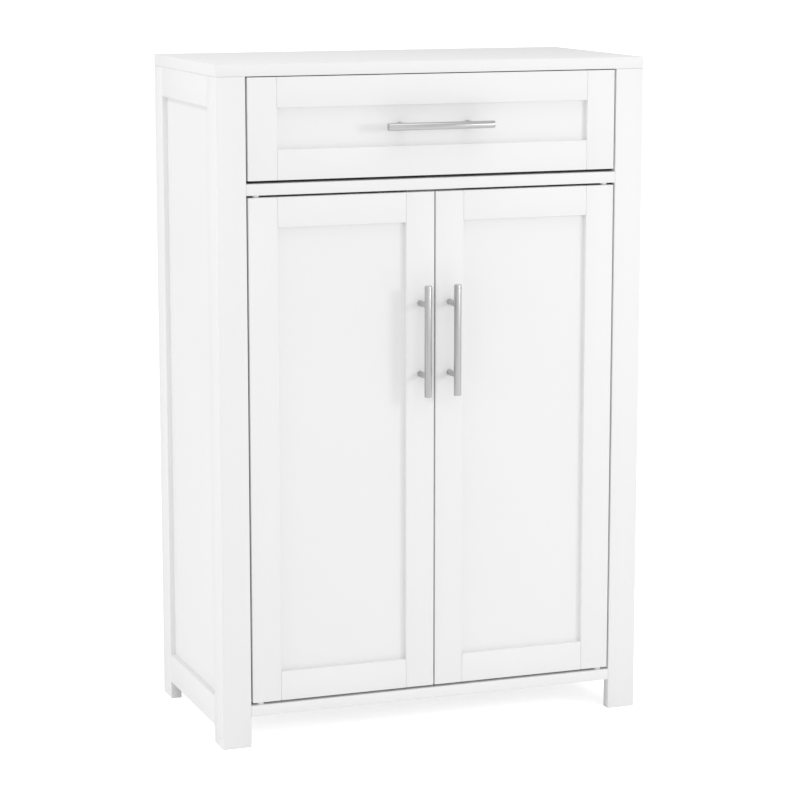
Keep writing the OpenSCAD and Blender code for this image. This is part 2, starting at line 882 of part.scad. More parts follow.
// The handle lies level across the middle of the drawer front and stands on its panel.
module at_drawer_handle() {
    translate([0, front_y + front_recess, drawer_handle_z]) rotate([0, 90, 0]) children();
}

module drawer_front_panel() {
    color(lacquer)
        difference() {
            front_panel(drawer_x0, drawer_x1, drawer_front_z, drawer_front_z1);
            at_drawer_handle() handle_screw_holes(frame_t);
        }
}

// Space that the drawer bottom takes in the box, with its groove depth on each side.
module drawer_bottom_space(inset) {
    side = box_x - box_t + box_groove_d - inset;
    block(-side, side, frame_back_y + box_t - box_groove_d + inset,
          box_y1 - box_t + box_groove_d - inset, box_bottom_z, box_bottom_z + box_bottom_t);
}

module drawer_side() {
    difference() {
        block(-box_x, -box_x + box_t, frame_back_y, box_y1, box_z0, box_z1);
        drawer_bottom_space(0);
        inner_slide_screws(drill_gap);
    }
}

module drawer_left_side() { color(raw_board) drawer_side(); }
module drawer_right_side() { color(raw_board) on_right() drawer_side(); }

module drawer_inner_front() {
    color(raw_board)
        difference() {
            block(-box_x + box_t, box_x - box_t, frame_back_y, frame_back_y + box_t,
                  box_z0, box_z1);
            drawer_bottom_space(0);
            front_fixing_screws(drill_gap);
            at_drawer_handle() handle_screw_holes(frame_t - front_recess + box_t);
        }
}

module drawer_back() {
    color(raw_board)
        difference() {
            block(-box_x + box_t, box_x - box_t, box_y1 - box_t, box_y1, box_z0, box_z1);
            drawer_bottom_space(0);
        }
}

module drawer_bottom() { color(raw_board) drawer_bottom_space(panel_play / 2); }

module drawer_handle() { color(nickel) at_drawer_handle() bar_handle(); }

module drawer_screws() {
    color(zinc) {
        front_fixing_screws();
        at_drawer_handle() handle_screws(frame_t - front_recess + box_t);
        both_sides() inner_slide_screws();
    }
}

// ---------------------------------------------------------------- doors, drawn for the left one

// Pivot pins stand in the ends of the outer stile.
module pivot_pin_pair(gap = 0) {
    rod_z(pivot_x, pivot_y, door_z0 - door_bottom_gap - pin_in_bush,
          door_z0 + pin_in_door + gap, pin_d + 2 * gap);
    rod_z(pivot_x, pivot_y, door_z1 - pin_in_door - gap,
          door_z1 + door_top_gap + pin_in_bush, pin_d + 2 * gap);
}

module strike_screw(gap = 0) {
    translate([magnet_x, strike_back_y, strike_z]) rotate([-90, 0, 0])
        flat_screw(frame_t - front_screw_cover, strike_screw_d, strike_head_d, strike_t, gap);
}

module at_door_handle() {
    translate([door_handle_x, front_y, door_handle_z]) children();
}

module door_outer_stile() {
    difference() {
        front_stile_left(door_x0, door_z0, door_z1);
        pivot_pin_pair(drill_gap);
    }
}

module door_inner_stile() {
    difference() {
        front_stile_right(door_x1, door_z0, door_z1);
        at_door_handle() handle_screw_holes(frame_t);
        strike_screw(drill_gap);
    }
}

module door_strike_plate() {
    difference() {
        block(magnet_x - magnet_w / 2, magnet_x + magnet_w / 2, frame_back_y, strike_back_y,
              strike_z1 - strike_h, strike_z1);
        strike_screw(drill_gap);
    }
}

module door_screws() {
    at_door_handle() handle_screws(frame_t);
    strike_screw();
}

module left_door_outer_stile() { color(lacquer) door_outer_stile(); }
module left_door_inner_stile() { color(lacquer) door_inner_stile(); }
module left_door_top_rail() { color(lacquer) front_rail(door_x0, door_x1, door_z1 - rail_w, true); }
module left_door_bottom_rail() { color(lacquer) front_rail(door_x0, door_x1, door_z0, false); }
module left_door_panel() { color(lacquer) front_panel(door_x0, door_x1, door_z0, door_z1); }
module left_door_pivot_pins() { color(zinc) pivot_pin_pair(); }
module left_door_handle() { color(nickel) at_door_handle() bar_handle(); }
module left_door_strike_plate() { color(zinc) door_strike_plate(); }
module left_door_screws() { color(zinc) door_screws(); }

module right_door_outer_stile() { on_right() left_door_outer_stile(); }
module right_door_inner_stile() { on_right() left_door_inner_stile(); }
module right_door_top_rail() { on_right() left_door_top_rail(); }
module right_door_bottom_rail() { on_right() left_door_bottom_rail(); }
module right_door_panel() { on_right() left_door_panel(); }
module right_door_pivot_pins() { on_right() left_door_pivot_pins(); }
module right_door_handle() { on_right() left_door_handle(); }
module right_door_strike_plate() { on_right() left_door_strike_plate(); }
module right_door_screws() { on_right() left_door_screws(); }

// ---------------------------------------------------------------- what is drawn

top_board();
front_left_leg();
front_right_leg();
rear_left_leg();
rear_right_leg();
left_side_top_rail();
left_side_bottom_rail();
left_side_panel();
right_side_top_rail();
right_side_bottom_rail();
right_side_panel();
divider_board();
bottom_board();
back_panel();
rear_top_rail();
lower_shelf();
upper_shelf();
shelf_pins();
runner_battens();
left_slide_outer();
right_slide_outer();
pivot_bushings();
catch_housing();
catch_magnets();
cam_fittings();
carcass_screws();
drawer_front_left_stile();
drawer_front_right_stile();
drawer_front_top_rail();
drawer_front_bottom_rail();
drawer_front_panel();
drawer_left_side();
drawer_right_side();
drawer_inner_front();
drawer_back();
drawer_bottom();
drawer_handle();
left_slide_inner();
right_slide_inner();
drawer_screws();
left_slide_cage();
right_slide_cage();
left_door_outer_stile();
left_door_inner_stile();
left_door_top_rail();
left_door_bottom_rail();
left_door_panel();
left_door_pivot_pins();
left_door_handle();
left_door_strike_plate();
left_door_screws();
right_door_outer_stile();
right_door_inner_stile();
right_door_top_rail();
right_door_bottom_rail();
right_door_panel();
right_door_pivot_pins();
right_door_handle();
right_door_strike_plate();
right_door_screws();
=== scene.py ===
"""Looks of a two-door cabinet with one drawer: eased boards, paint, metal, fasteners and studio."""

import json
import logging
import math
from collections.abc import Iterable, Sequence
from dataclasses import dataclass, field
from enum import Enum
from typing import ClassVar

import bmesh
import bpy
from mathutils import Matrix, Vector
from mathutils.bvhtree import BVHTree

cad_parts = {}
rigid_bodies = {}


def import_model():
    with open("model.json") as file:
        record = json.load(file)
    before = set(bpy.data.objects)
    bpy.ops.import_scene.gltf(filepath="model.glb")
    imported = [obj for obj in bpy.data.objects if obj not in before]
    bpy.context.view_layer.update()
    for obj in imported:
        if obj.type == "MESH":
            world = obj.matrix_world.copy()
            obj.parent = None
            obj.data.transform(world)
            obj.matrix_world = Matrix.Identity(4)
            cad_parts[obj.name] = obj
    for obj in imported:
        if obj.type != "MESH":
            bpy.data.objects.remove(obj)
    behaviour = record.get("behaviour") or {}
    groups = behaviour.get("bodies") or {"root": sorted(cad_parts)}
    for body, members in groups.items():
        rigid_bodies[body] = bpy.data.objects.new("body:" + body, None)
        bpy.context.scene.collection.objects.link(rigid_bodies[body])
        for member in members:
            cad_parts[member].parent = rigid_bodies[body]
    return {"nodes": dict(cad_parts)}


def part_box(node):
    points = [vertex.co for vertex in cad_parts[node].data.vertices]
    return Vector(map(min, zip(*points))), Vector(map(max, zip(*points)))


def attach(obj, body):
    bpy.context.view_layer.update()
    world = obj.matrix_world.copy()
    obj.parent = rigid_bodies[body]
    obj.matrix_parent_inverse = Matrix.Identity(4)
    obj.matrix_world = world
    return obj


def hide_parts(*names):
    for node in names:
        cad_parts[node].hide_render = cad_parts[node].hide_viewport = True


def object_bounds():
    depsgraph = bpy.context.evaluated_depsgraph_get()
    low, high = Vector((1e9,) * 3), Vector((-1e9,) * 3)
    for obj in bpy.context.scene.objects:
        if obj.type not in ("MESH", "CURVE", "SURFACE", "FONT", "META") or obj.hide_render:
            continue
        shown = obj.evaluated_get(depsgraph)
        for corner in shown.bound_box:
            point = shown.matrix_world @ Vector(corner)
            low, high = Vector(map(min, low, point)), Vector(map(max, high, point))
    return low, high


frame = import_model()
CAD_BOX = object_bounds()

MM = 0.001
# Attribute that is 1 on rounded edges and 0 on flat faces.
WEAR = "edge_wear"
# Attribute that holds the way a fastener's head faces.
FACING = "facing"

log = logging.getLogger("cabinet")


class Axis(Enum):
    """An axis of the frame, and the way that a grain or a brush mark runs."""

    X = 0
    Y = 1
    Z = 2

    def scales(self, along: float, across: float) -> tuple[float, float, float]:
        """Texture scales that stretch a pattern along this axis.

        Args:
            along: Scale along the axis, in features per metre.
            across: Scale across it.

        Returns:
            The three scales.
        """
        return tuple(along if axis is self else across for axis in Axis)


class Side(Enum):
    """A side of the cabinet, as its front is seen."""

    LEFT = "left"
    RIGHT = "right"


# ---------------------------------------------------------------- node trees

Colour = tuple[float, float, float]


def opaque(colour: Colour) -> tuple[float, float, float, float]:
    """A colour with full alpha."""
    return (*colour, 1.0)


def shade(colour: Colour, share: float) -> Colour:
    """A colour made darker or lighter by a share of itself."""
    return tuple(part * share for part in colour)


class NodeSheet:
    """A node tree with short calls that add nodes and join them."""

    def __init__(self, tree: bpy.types.NodeTree) -> None:
        """Keeps the tree that the calls work on."""
        self.tree = tree

    def add(self, kind: str, inputs: dict | None = None, **settings: object) -> bpy.types.Node:
        """Adds a node.

        Args:
            kind: The node's type.
            inputs: For each input's name, a socket to join to it or a value to set.
            **settings: The node's own properties.

        Returns:
            The new node.
        """
        node = self.tree.nodes.new(kind)
        for name, value in settings.items():
            setattr(node, name, value)
        for name, value in (inputs or {}).items():
            socket = next(s for s in node.inputs if s.enabled and s.name == name)
            self.feed(socket, value)
        return node

    def feed(self, socket: bpy.types.NodeSocket, value: object) -> None:
        """Joins a socket to another one, or sets its value."""
        if isinstance(value, bpy.types.NodeSocket):
            self.tree.links.new(value, socket)
        else:
            socket.default_value = value

    @staticmethod
    def result(node: bpy.types.Node) -> bpy.types.NodeSocket:
        """The first output in use."""
        return next(s for s in node.outputs if s.enabled)

    def coordinates(self, axis: Axis | None = None, along: float = 1.0,
                    across: float = 1.0) -> bpy.types.NodeSocket:
        """Object coordinates, stretched along an axis where one is given.

        Args:
            axis: The axis that the pattern follows.
            along: Scale along it.
            across: Scale across it.

        Returns:
            A vector socket.
        """
        place = self.add("ShaderNodeTexCoord").outputs["Object"]
        if axis is None:
            return place
        stretch = axis.scales(along, across)
        return self.result(self.add("ShaderNodeMapping", {"Vector": place, "Scale": stretch}))

    def noise(self, place: bpy.types.NodeSocket, scale: float, detail: float = 2.0,
              roughness: float = 0.5) -> bpy.types.NodeSocket:
        """Noise from 0 to 1 at a place, with its middle near 0.5."""
        node = self.add("ShaderNodeTexNoise", {"Vector": place, "Scale": scale,
                                               "Detail": detail, "Roughness": roughness})
        return self.result(node)

    def spread(self, value: bpy.types.NodeSocket, low: float, high: float,
               start: float = 0.3, end: float = 0.7) -> bpy.types.NodeSocket:
        """Maps start..end to low..high, held at both ends."""
        node = self.add("ShaderNodeMapRange", {"Value": value, "From Min": start, "From Max": end,
                                               "To Min": low, "To Max": high}, clamp=True)
        return self.result(node)

    def times(self, a: object, b: object) -> bpy.types.NodeSocket:
        """The product of two values."""
        return self._sum("MULTIPLY", a, b)

    def plus(self, a: object, b: object) -> bpy.types.NodeSocket:
        """The sum of two values."""
        return self._sum("ADD", a, b)

    def _sum(self, operation: str, a: object, b: object) -> bpy.types.NodeSocket:
        """Works out two values."""
        node = self.add("ShaderNodeMath", operation=operation)
        self.feed(node.inputs[0], a)
        self.feed(node.inputs[1], b)
        return self.result(node)

    def blend(self, a: bpy.types.NodeSocket, b: bpy.types.NodeSocket,
              share: float) -> bpy.types.NodeSocket:
        """A share of one value and the rest of another."""
        return self.plus(self.times(a, share), self.times(b, 1 - share))

    def toned(self, pattern: bpy.types.NodeSocket, colour: Colour,
              tone: float, start: float = 0.3, end: float = 0.7) -> bpy.types.NodeSocket:
        """A colour that a pattern darkens to a share of itself."""
        return self.mixed(self.spread(pattern, 0.0, 1.0, start, end),
                          opaque(shade(colour, tone)), opaque(colour))

    def mixed(self, factor: object, a: object, b: object) -> bpy.types.NodeSocket:
        """A colour between a and b."""
        node = self.add("ShaderNodeMix", data_type="RGBA")
        sockets = {s.name: s for s in node.inputs if s.enabled}
        for name, value in (("Factor", factor), ("A", a), ("B", b)):
            self.feed(sockets[name], value)
        return self.result(node)

    def bump(self, height: bpy.types.NodeSocket, depth: float) -> bpy.types.NodeSocket:
        """A normal from a height of 0 to 1 that stands for a depth in metres."""
        node = self.add("ShaderNodeBump", {"Height": height, "Distance": depth, "Strength": 1.0})
        return self.result(node)


# ---------------------------------------------------------------- finishes


@dataclass(frozen=True)
class Finish:
    """What every finish has: a name, a slot of the record, a colour, a gloss and its wear."""

    name: str
    slot: str
    colour: Colour
    worn: Colour
    roughness: tuple[float, float]
    metallic: float = 0.0
    wear_share: float = 0.5
    wear_scale: float = 90.0
    wear_detail: tuple[float, float] = (4.0, 0.6)
    wear_band: tuple[float, float] = (0.52, 0.66)

    def material(self, axis: Axis) -> bpy.types.Material:
        """The material of this finish with its marks along an axis, made once.

        Args:
            axis: The way that grain or brush marks run.

        Returns:
            The material.
        """
        name = f"{self.name}_{axis.name.lower()}"
        made = bpy.data.materials.get(name)
        if made is not None:
            return made
        material = bpy.data.materials.new(name)
        material.use_nodes = True
        sheet = NodeSheet(material.node_tree)
        shader = material.node_tree.nodes["Principled BSDF"]
        shader.inputs["Metallic"].default_value = self.metallic
        self.paint(sheet, shader, axis)
        return material

    def paint(self, sheet: NodeSheet, shader: bpy.types.Node, axis: Axis) -> None:
        """Feeds the shader with this finish's colour, roughness and relief.

        Args:
            sheet: The material's node tree.
            shader: Its Principled shader.
            axis: The way that marks run.
        """
        raise NotImplementedError

    def rubbed(self, sheet: NodeSheet, base: bpy.types.NodeSocket) -> bpy.types.NodeSocket:
        """Lets the worn colour show in patches along rounded edges.

        Args:
            sheet: The material's node tree.
            base: The colour away from the edges.

        Returns:
            The colour with its wear.
        """
        edge = sheet.add("ShaderNodeAttribute", attribute_name=WEAR).outputs["Fac"]
        patches = sheet.noise(sheet.coordinates(), self.wear_scale, *self.wear_detail)
        amount = sheet.times(edge, sheet.spread(patches, 0.0, self.wear_share, *self.wear_band))
        return sheet.mixed(amount, base, opaque(self.worn))


@dataclass(frozen=True)
class Lacquer(Finish):
    """Sprayed satin lacquer on a smooth board: faint stipple, fainter grain, soft clouds of tone."""

    cloud: float = 0.985
    cloud_scale: float = 4.0
    stipple_scale: float = 420.0
    grain_along: float = 14.0
    grain_across: float = 260.0
    grain_share: float = 0.35
    gloss_share: float = 0.6
    relief: float = 0.03 * MM

    def paint(self, sheet: NodeSheet, shader: bpy.types.Node, axis: Axis) -> None:
        """Feeds the shader; see Finish.paint."""
        place = sheet.coordinates()
        cloud = sheet.noise(place, self.cloud_scale, 3.0)
        stipple = sheet.noise(place, self.stipple_scale, 2.0)
        grain = sheet.noise(sheet.coordinates(axis, self.grain_along, self.grain_across), 1.0, 4.0)
        tone = sheet.toned(cloud, self.colour, self.cloud)
        height = sheet.plus(sheet.times(grain, self.grain_share), stipple)
        gloss = sheet.blend(cloud, stipple, self.gloss_share)
        sheet.feed(shader.inputs["Base Color"], self.rubbed(sheet, tone))
        sheet.feed(shader.inputs["Roughness"], sheet.spread(gloss, *self.roughness))
        sheet.feed(shader.inputs["Normal"], sheet.bump(height, self.relief))


@dataclass(frozen=True)
class Brushed(Finish):
    """Metal with long fine brush marks along its length."""

    along: float = 9.0
    across: float = 900.0
    broad_across: float = 260.0
    fine_detail: tuple[float, float] = (5.0, 0.65)
    fine_share: float = 0.55
    tone: float = 0.55
    relief: float = 0.02 * MM

    def paint(self, sheet: NodeSheet, shader: bpy.types.Node, axis: Axis) -> None:
        """Feeds the shader; see Finish.paint."""
        fine = sheet.noise(sheet.coordinates(axis, self.along, self.across), 1.0,
                           *self.fine_detail)
        broad = sheet.noise(sheet.coordinates(axis, self.along / 3, self.broad_across), 1.0, 2.0)
        marks = sheet.blend(fine, broad, self.fine_share)
        tone = sheet.toned(marks, self.colour, self.tone)
        sheet.feed(shader.inputs["Base Color"], self.rubbed(sheet, tone))
        sheet.feed(shader.inputs["Roughness"], sheet.spread(marks, *self.roughness))
        sheet.feed(shader.inputs["Normal"], sheet.bump(marks, self.relief))


@dataclass(frozen=True)
class Plated(Finish):
    """Zinc-plated steel: blotches of tone with small pits, rolled or turned along an axis."""

    blotch_scale: float = 220.0
    pit_scale: float = 1400.0
    roll_along: float = 30.0
    roll_across: float = 700.0
    roll_share: float = 0.6
    tone: float = 0.78
    relief: float = 0.015 * MM

    def paint(self, sheet: NodeSheet, shader: bpy.types.Node, axis: Axis) -> None:
        """Feeds the shader; see Finish.paint."""
        place = sheet.coordinates()
        blotch = sheet.noise(place, self.blotch_scale, 3.0)
        pits = sheet.noise(place, self.pit_scale, 1.0)
        rolled = sheet.noise(sheet.coordinates(axis, self.roll_along, self.roll_across), 1.0, 3.0)
        tone = sheet.toned(blotch, self.colour, self.tone)
        height = sheet.blend(rolled, pits, self.roll_share)
        sheet.feed(shader.inputs["Base Color"], self.rubbed(sheet, tone))
        sheet.feed(shader.inputs["Roughness"], sheet.spread(rolled, *self.roughness))
        sheet.feed(shader.inputs["Normal"], sheet.bump(height, self.relief))


@dataclass(frozen=True)
class Grained(Finish):
    """Pale board with wood grain: long rings, pores and a slow change of tone."""

    ring_along: float = 1.6
    ring_across: float = 32.0
    ring_detail: tuple[float, float] = (6.0, 0.62)
    ring_band: tuple[float, float] = (0.38, 0.62)
    pore_along: float = 45.0
    pore_across: float = 1500.0
    tone: float = 0.88
    pore_tone: float = 0.82
    pore_band: tuple[float, float] = (0.34, 0.42)
    pore_share: float = 0.5
    relief: float = 0.08 * MM

    def paint(self, sheet: NodeSheet, shader: bpy.types.Node, axis: Axis) -> None:
        """Feeds the shader; see Finish.paint."""
        rings = sheet.noise(sheet.coordinates(axis, self.ring_along, self.ring_across), 1.0,
                            *self.ring_detail)
        pores = sheet.noise(sheet.coordinates(axis, self.pore_along, self.pore_across), 1.0, 2.0)
        figure = sheet.toned(rings, self.colour, self.tone, *self.ring_band)
        open_pores = sheet.spread(pores, self.pore_share, 0.0, *self.pore_band)
        tone = sheet.mixed(open_pores, figure, opaque(shade(self.colour, self.pore_tone)))
        height = sheet.blend(rings, pores, self.pore_share)
        sheet.feed(shader.inputs["Base Color"], self.rubbed(sheet, tone))
        sheet.feed(shader.inputs["Roughness"], sheet.spread(pores, *self.roughness))
        sheet.feed(shader.inputs["Normal"], sheet.bump(height, self.relief))


@dataclass(frozen=True)
class Moulded(Finish):
    """Moulded plastic or pressed ferrite: fine sparks of tone and a spark-eroded grain."""

    cloud_scale: float = 60.0
    spark_scale: float = 1800.0
    tone: float = 0.93
    relief: float = 0.03 * MM

    def paint(self, sheet: NodeSheet, shader: bpy.types.Node, axis: Axis) -> None:
        """Feeds the shader; see Finish.paint."""
        place = sheet.coordinates()
        cloud = sheet.noise(place, self.cloud_scale, 2.0)
        spark = sheet.noise(place, self.spark_scale, 2.0)
        tone = sheet.toned(cloud, self.colour, self.tone)
        sheet.feed(shader.inputs["Base Color"], self.rubbed(sheet, tone))
        sheet.feed(shader.inputs["Roughness"], sheet.spread(spark, *self.roughness))
        sheet.feed(shader.inputs["Normal"], sheet.bump(spark, self.relief))


LACQUER = Lacquer("white_lacquer", "white_lacquer", (0.80, 0.80, 0.80), (0.70, 0.68, 0.64),
                  (0.48, 0.60), wear_share=0.35)
HARDBOARD = Lacquer("white_hardboard", "white_hardboard", (0.76, 0.76, 0.75), (0.55, 0.47, 0.38),
                    (0.48, 0.62), wear_share=0.6, stipple_scale=900.0, relief=0.06 * MM)
RAW_BOARD = Grained("raw_board", "raw_board", (0.70, 0.66, 0.58), (0.60, 0.54, 0.45),
                    (0.52, 0.68), wear_share=0.4)
NICKEL = Brushed("brushed_nickel", "brushed_nickel", (0.66, 0.66, 0.66), (0.80, 0.80, 0.80),
                 (0.24, 0.40), metallic=1.0, wear_share=0.6)
SLIDE_STEEL = Plated("slide_steel", "slide_steel", (0.58, 0.59, 0.60), (0.74, 0.74, 0.74),
                     (0.26, 0.42), metallic=1.0)
ZINC = Plated("zinc_plated_steel", "zinc_plated_steel", (0.60, 0.61, 0.63), (0.76, 0.76, 0.75),
              (0.28, 0.44), metallic=1.0, roll_along=200.0)
NYLON = Moulded("white_nylon", "white_nylon", (0.78, 0.78, 0.74), (0.66, 0.65, 0.60),
                (0.42, 0.58))
FERRITE = Moulded("ferrite", "ferrite", (0.055, 0.055, 0.058), (0.20, 0.20, 0.20), (0.50, 0.66),
                  wear_share=0.8)


# ---------------------------------------------------------------- meshes

MERGE = 0.002 * MM
FLAT_ANGLE = math.radians(0.5)
SHARP_ANGLE = math.radians(60.0)
SMOOTH_ANGLE = math.radians(30.0)
# How far outside an edge the look-out for a neighbour stands, and where along the edge.
PROBE_DEPTH = 0.2 * MM
PROBE_SHARES = (0.25, 0.5, 0.75)
# How close two CAD corners are when they lie on one plane or one circle.
SAME = 0.01 * MM


def copied(node: str) -> bmesh.types.BMesh:
    """Copies a CAD node's mesh with its loose triangles joined.

    Args:
        node: The node's name.

    Returns:
        The copy, to be freed by the caller.
    """
    source = frame["nodes"][node].data
    mesh = bmesh.new()
    corners = [mesh.verts.new(vertex.co) for vertex in source.vertices]
    for triangle in source.polygons:
        mesh.faces.new([corners[i] for i in triangle.vertices])
    bmesh.ops.remove_doubles(mesh, verts=mesh.verts, dist=MERGE)
    return mesh


def placed(name: str, mesh: bmesh.types.BMesh) -> bpy.types.Object:
    """Makes an object of a mesh and frees the mesh.

    Args:
        name: The object's name.
        mesh: Its mesh, in place.

    Returns:
        The object, at the origin.
    """
    data = bpy.data.meshes.new(name)
    mesh.to_mesh(data)
    mesh.free()
    piece = bpy.data.objects.new(name, data)
    bpy.context.scene.collection.objects.link(piece)
    return piece


def soften(mesh: bmesh.types.BMesh) -> None:
    """Shades round faces smooth and keeps the edges between flat ones sharp."""
    for edge in mesh.edges:
        joined = len(edge.link_faces) == 2
        edge.smooth = joined and edge.calc_face_angle() < SMOOTH_ANGLE
    for face in mesh.faces:
        face.smooth = any(edge.smooth for edge in face.edges)


class Neighbours:
    """Tells whether a point lies inside a CAD node other than the one being worked on."""

    # A way that runs along no face of the cabinet.
    PROBE = Vector((0.31, 0.53, 0.79)).normalized()
    STEP = 0.001 * MM

    def __init__(self) -> None:
        """Makes a search tree and a box for each node."""
        self.shapes: dict[str, tuple[BVHTree, Vector, Vector]] = {}
        for name in frame["nodes"]:
            mesh = copied(name)
            self.shapes[name] = (BVHTree.FromBMesh(mesh), *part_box(name))
            mesh.free()

    def hold(self, point: Vector, node: str) -> bool:
        """Looks for another node round a point.

        Args:
            point: The point.
            node: The node to leave out.

        Returns:
            True if another node holds the point.
        """
        for name, (tree, low, high) in self.shapes.items():
            boxed = all(low[i] < point[i] < high[i] for i in range(3))
            if name != node and boxed and self._crossings(tree, point) % 2 == 1:
                return True
        return False

    def _crossings(self, tree: BVHTree, point: Vector) -> int:
        """Counts the faces that a ray from the point goes through."""
        count = 0
        hit = tree.ray_cast(point, self.PROBE)[0]
        while hit is not None:
            count += 1
            hit = tree.ray_cast(hit + self.PROBE * self.STEP, self.PROBE)[0]
        return count


NEIGHBOURS = Neighbours()


def is_exposed(edge: bmesh.types.BMEdge, node: str) -> bool:
    """Whether the air reaches an edge, so that it was sanded once assembled.

    Args:
        edge: The edge.
        node: The CAD node that it belongs to.

    Returns:
        False where another part covers the edge.
    """
    out = (edge.link_faces[0].normal + edge.link_faces[1].normal).normalized()
    a, b = (vertex.co for vertex in edge.verts)
    return any(not NEIGHBOURS.hold(a.lerp(b, share) + out * PROBE_DEPTH, node)
               for share in PROBE_SHARES)


def eased(node: str, ease: float, shortest: float, steps: int = 2) -> bpy.types.Object:
    """Copies a CAD node and rounds its long outer edges, as sanding does.

    Args:
        node: The node's name.
        ease: Width of the rounding.
        shortest: Edges shorter than this stay as they are, such as those of a bore.
        steps: Faces across the rounding.

    Returns:
        The new object, with the rounding marked in the attribute for wear.
    """
    mesh = copied(node)
    bmesh.ops.dissolve_limit(mesh, angle_limit=FLAT_ANGLE, verts=mesh.verts, edges=mesh.edges)
    sharp = [edge for edge in mesh.edges
             if len(edge.link_faces) == 2 and edge.is_convex
             and edge.calc_length() > shortest and edge.calc_face_angle() > SHARP_ANGLE
             and is_exposed(edge, node)]
    rounded = bmesh.ops.bevel(mesh, geom=sharp, offset=ease, offset_type="OFFSET",
                              segments=steps, profile=0.5, affect="EDGES", clamp_overlap=True)
    marks = mesh.loops.layers.float.new(WEAR)
    for face in rounded["faces"]:
        for corner in face.loops:
            corner[marks] = 1.0
    soften(mesh)
    bmesh.ops.triangulate(mesh, faces=[face for face in mesh.faces if len(face.verts) > 4])
    return placed(f"{node}_eased", mesh)


def turned(mesh: bmesh.types.BMesh, outline: Sequence[tuple[float, float]], place: Matrix,
           segments: int) -> None:
    """Turns an outline round the Z axis and adds it to a mesh.

    Args:
        mesh: The mesh that takes the shape.
        outline: Points of (radius, height) from one end of the axis to the other.
        place: Where the turned shape goes.
        segments: Steps round the axis.
    """
    rings = []
    for radius, height in outline:
        count = segments if radius > 0 else 1
        rings.append([
            mesh.verts.new(place @ Vector((radius * math.cos(angle), radius * math.sin(angle),
                                           height)))
            for angle in (math.tau * i / segments for i in range(count))
        ])
    faces = []
    for lower, upper in zip(rings, rings[1:]):
        for i in range(segments):
            j = (i + 1) % segments
            corners = [lower[i % len(lower)], lower[j % len(lower)],
                       upper[j % len(upper)], upper[i % len(upper)]]
            faces.append(mesh.faces.new(list(dict.fromkeys(corners))))
    bmesh.ops.recalc_face_normals(mesh, faces=faces)


def corner_arc(radius: float, height: float, size: float, rising: bool,
               steps: int = 3) -> list[tuple[float, float]]:
    """Points round an outline's outer corner.

    Args:
        radius: Radius of the corner, were it sharp.
        height: Height of the corner, were it sharp.
        size: Radius of the rounding.
        rising: True where the outline comes off the lower end, False where it goes to the upper.
        steps: Faces across the rounding.

    Returns:
        The points, in order of height.
    """
    points = []
    for i in range(steps + 1):
        angle = math.pi / 2 * i / steps
        out = math.sin(angle) if rising else math.cos(angle)
        up = 1 - math.cos(angle) if rising else math.sin(angle) - 1
        points.append((radius - size + size * out, height + size * up))
    return points


@dataclass(frozen=True)
class Solid:
    """One closed solid of a CAD node, by its corners."""

    corners: tuple[Vector, ...]

    @property
    def low(self) -> Vector:
        """Its lowest corner."""
        return Vector(min(corner[i] for corner in self.corners) for i in range(3))

    @property
    def high(self) -> Vector:
        """Its highest corner."""
        return Vector(max(corner[i] for corner in self.corners) for i in range(3))

    @property
    def centre(self) -> Vector:
        """The middle of its box."""
        return (self.low + self.high) / 2

    @property
    def size(self) -> Vector:
        """The sides of its box."""
        return self.high - self.low


def solids_of(node: str) -> list[Solid]:
    """Splits a CAD node into its closed solids.

    Args:
        node: The node's name.

    Returns:
        The solids, in order of X, Y and Z.
    """
    mesh = copied(node)
    unseen = set(mesh.verts)
    found = []
    while unseen:
        group = set()
        border = [next(iter(unseen))]
        while border:
            vertex = border.pop()
            if vertex in group:
                continue
            group.add(vertex)
            border.extend(edge.other_vert(vertex) for edge in vertex.link_edges)
        unseen -= group
        found.append(Solid(tuple(vertex.co.copy() for vertex in group)))
    mesh.free()
    return sorted(found, key=lambda solid: tuple(round(part, 5) for part in solid.centre))


def keep(piece: bpy.types.Object, finish: Finish, axis: Axis, body: str, nodes: Sequence[str]) -> None:
    """Gives a piece its finish and its place in the frame.

    Args:
        piece: The finished piece.
        finish: Its finish.
        axis: The way that its marks run.
        body: The CAD body that it moves with.
        nodes: The CAD nodes that it stands for.
    """
    piece.data.materials.clear()
    piece.data.materials.append(finish.material(axis))
    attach(piece, body)
    if nodes:
        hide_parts(*nodes)
    log.info("%s: %d faces, %s, rides on %s", piece.name, len(piece.data.polygons),
             finish.name, body)


# ---------------------------------------------------------------- boards and plain hardware


@dataclass(frozen=True)
class Board:
    """One CAD board or plain part, with its rounding, its finish and the way of its grain."""

    node: str
    axis: Axis
    ease: float
    finish: Finish
    shortest: float = 6 * MM
    steps: int = 2

    def make(self, body: str) -> bpy.types.Object:
        """Rounds and dresses the part.

        Args:
            body: The CAD body that it moves with.

        Returns:
            The piece.
        """
        piece = eased(self.node, self.ease, self.shortest, self.steps)
        keep(piece, self.finish, self.axis, body, [self.node])
        return piece


# ---------------------------------------------------------------- fasteners


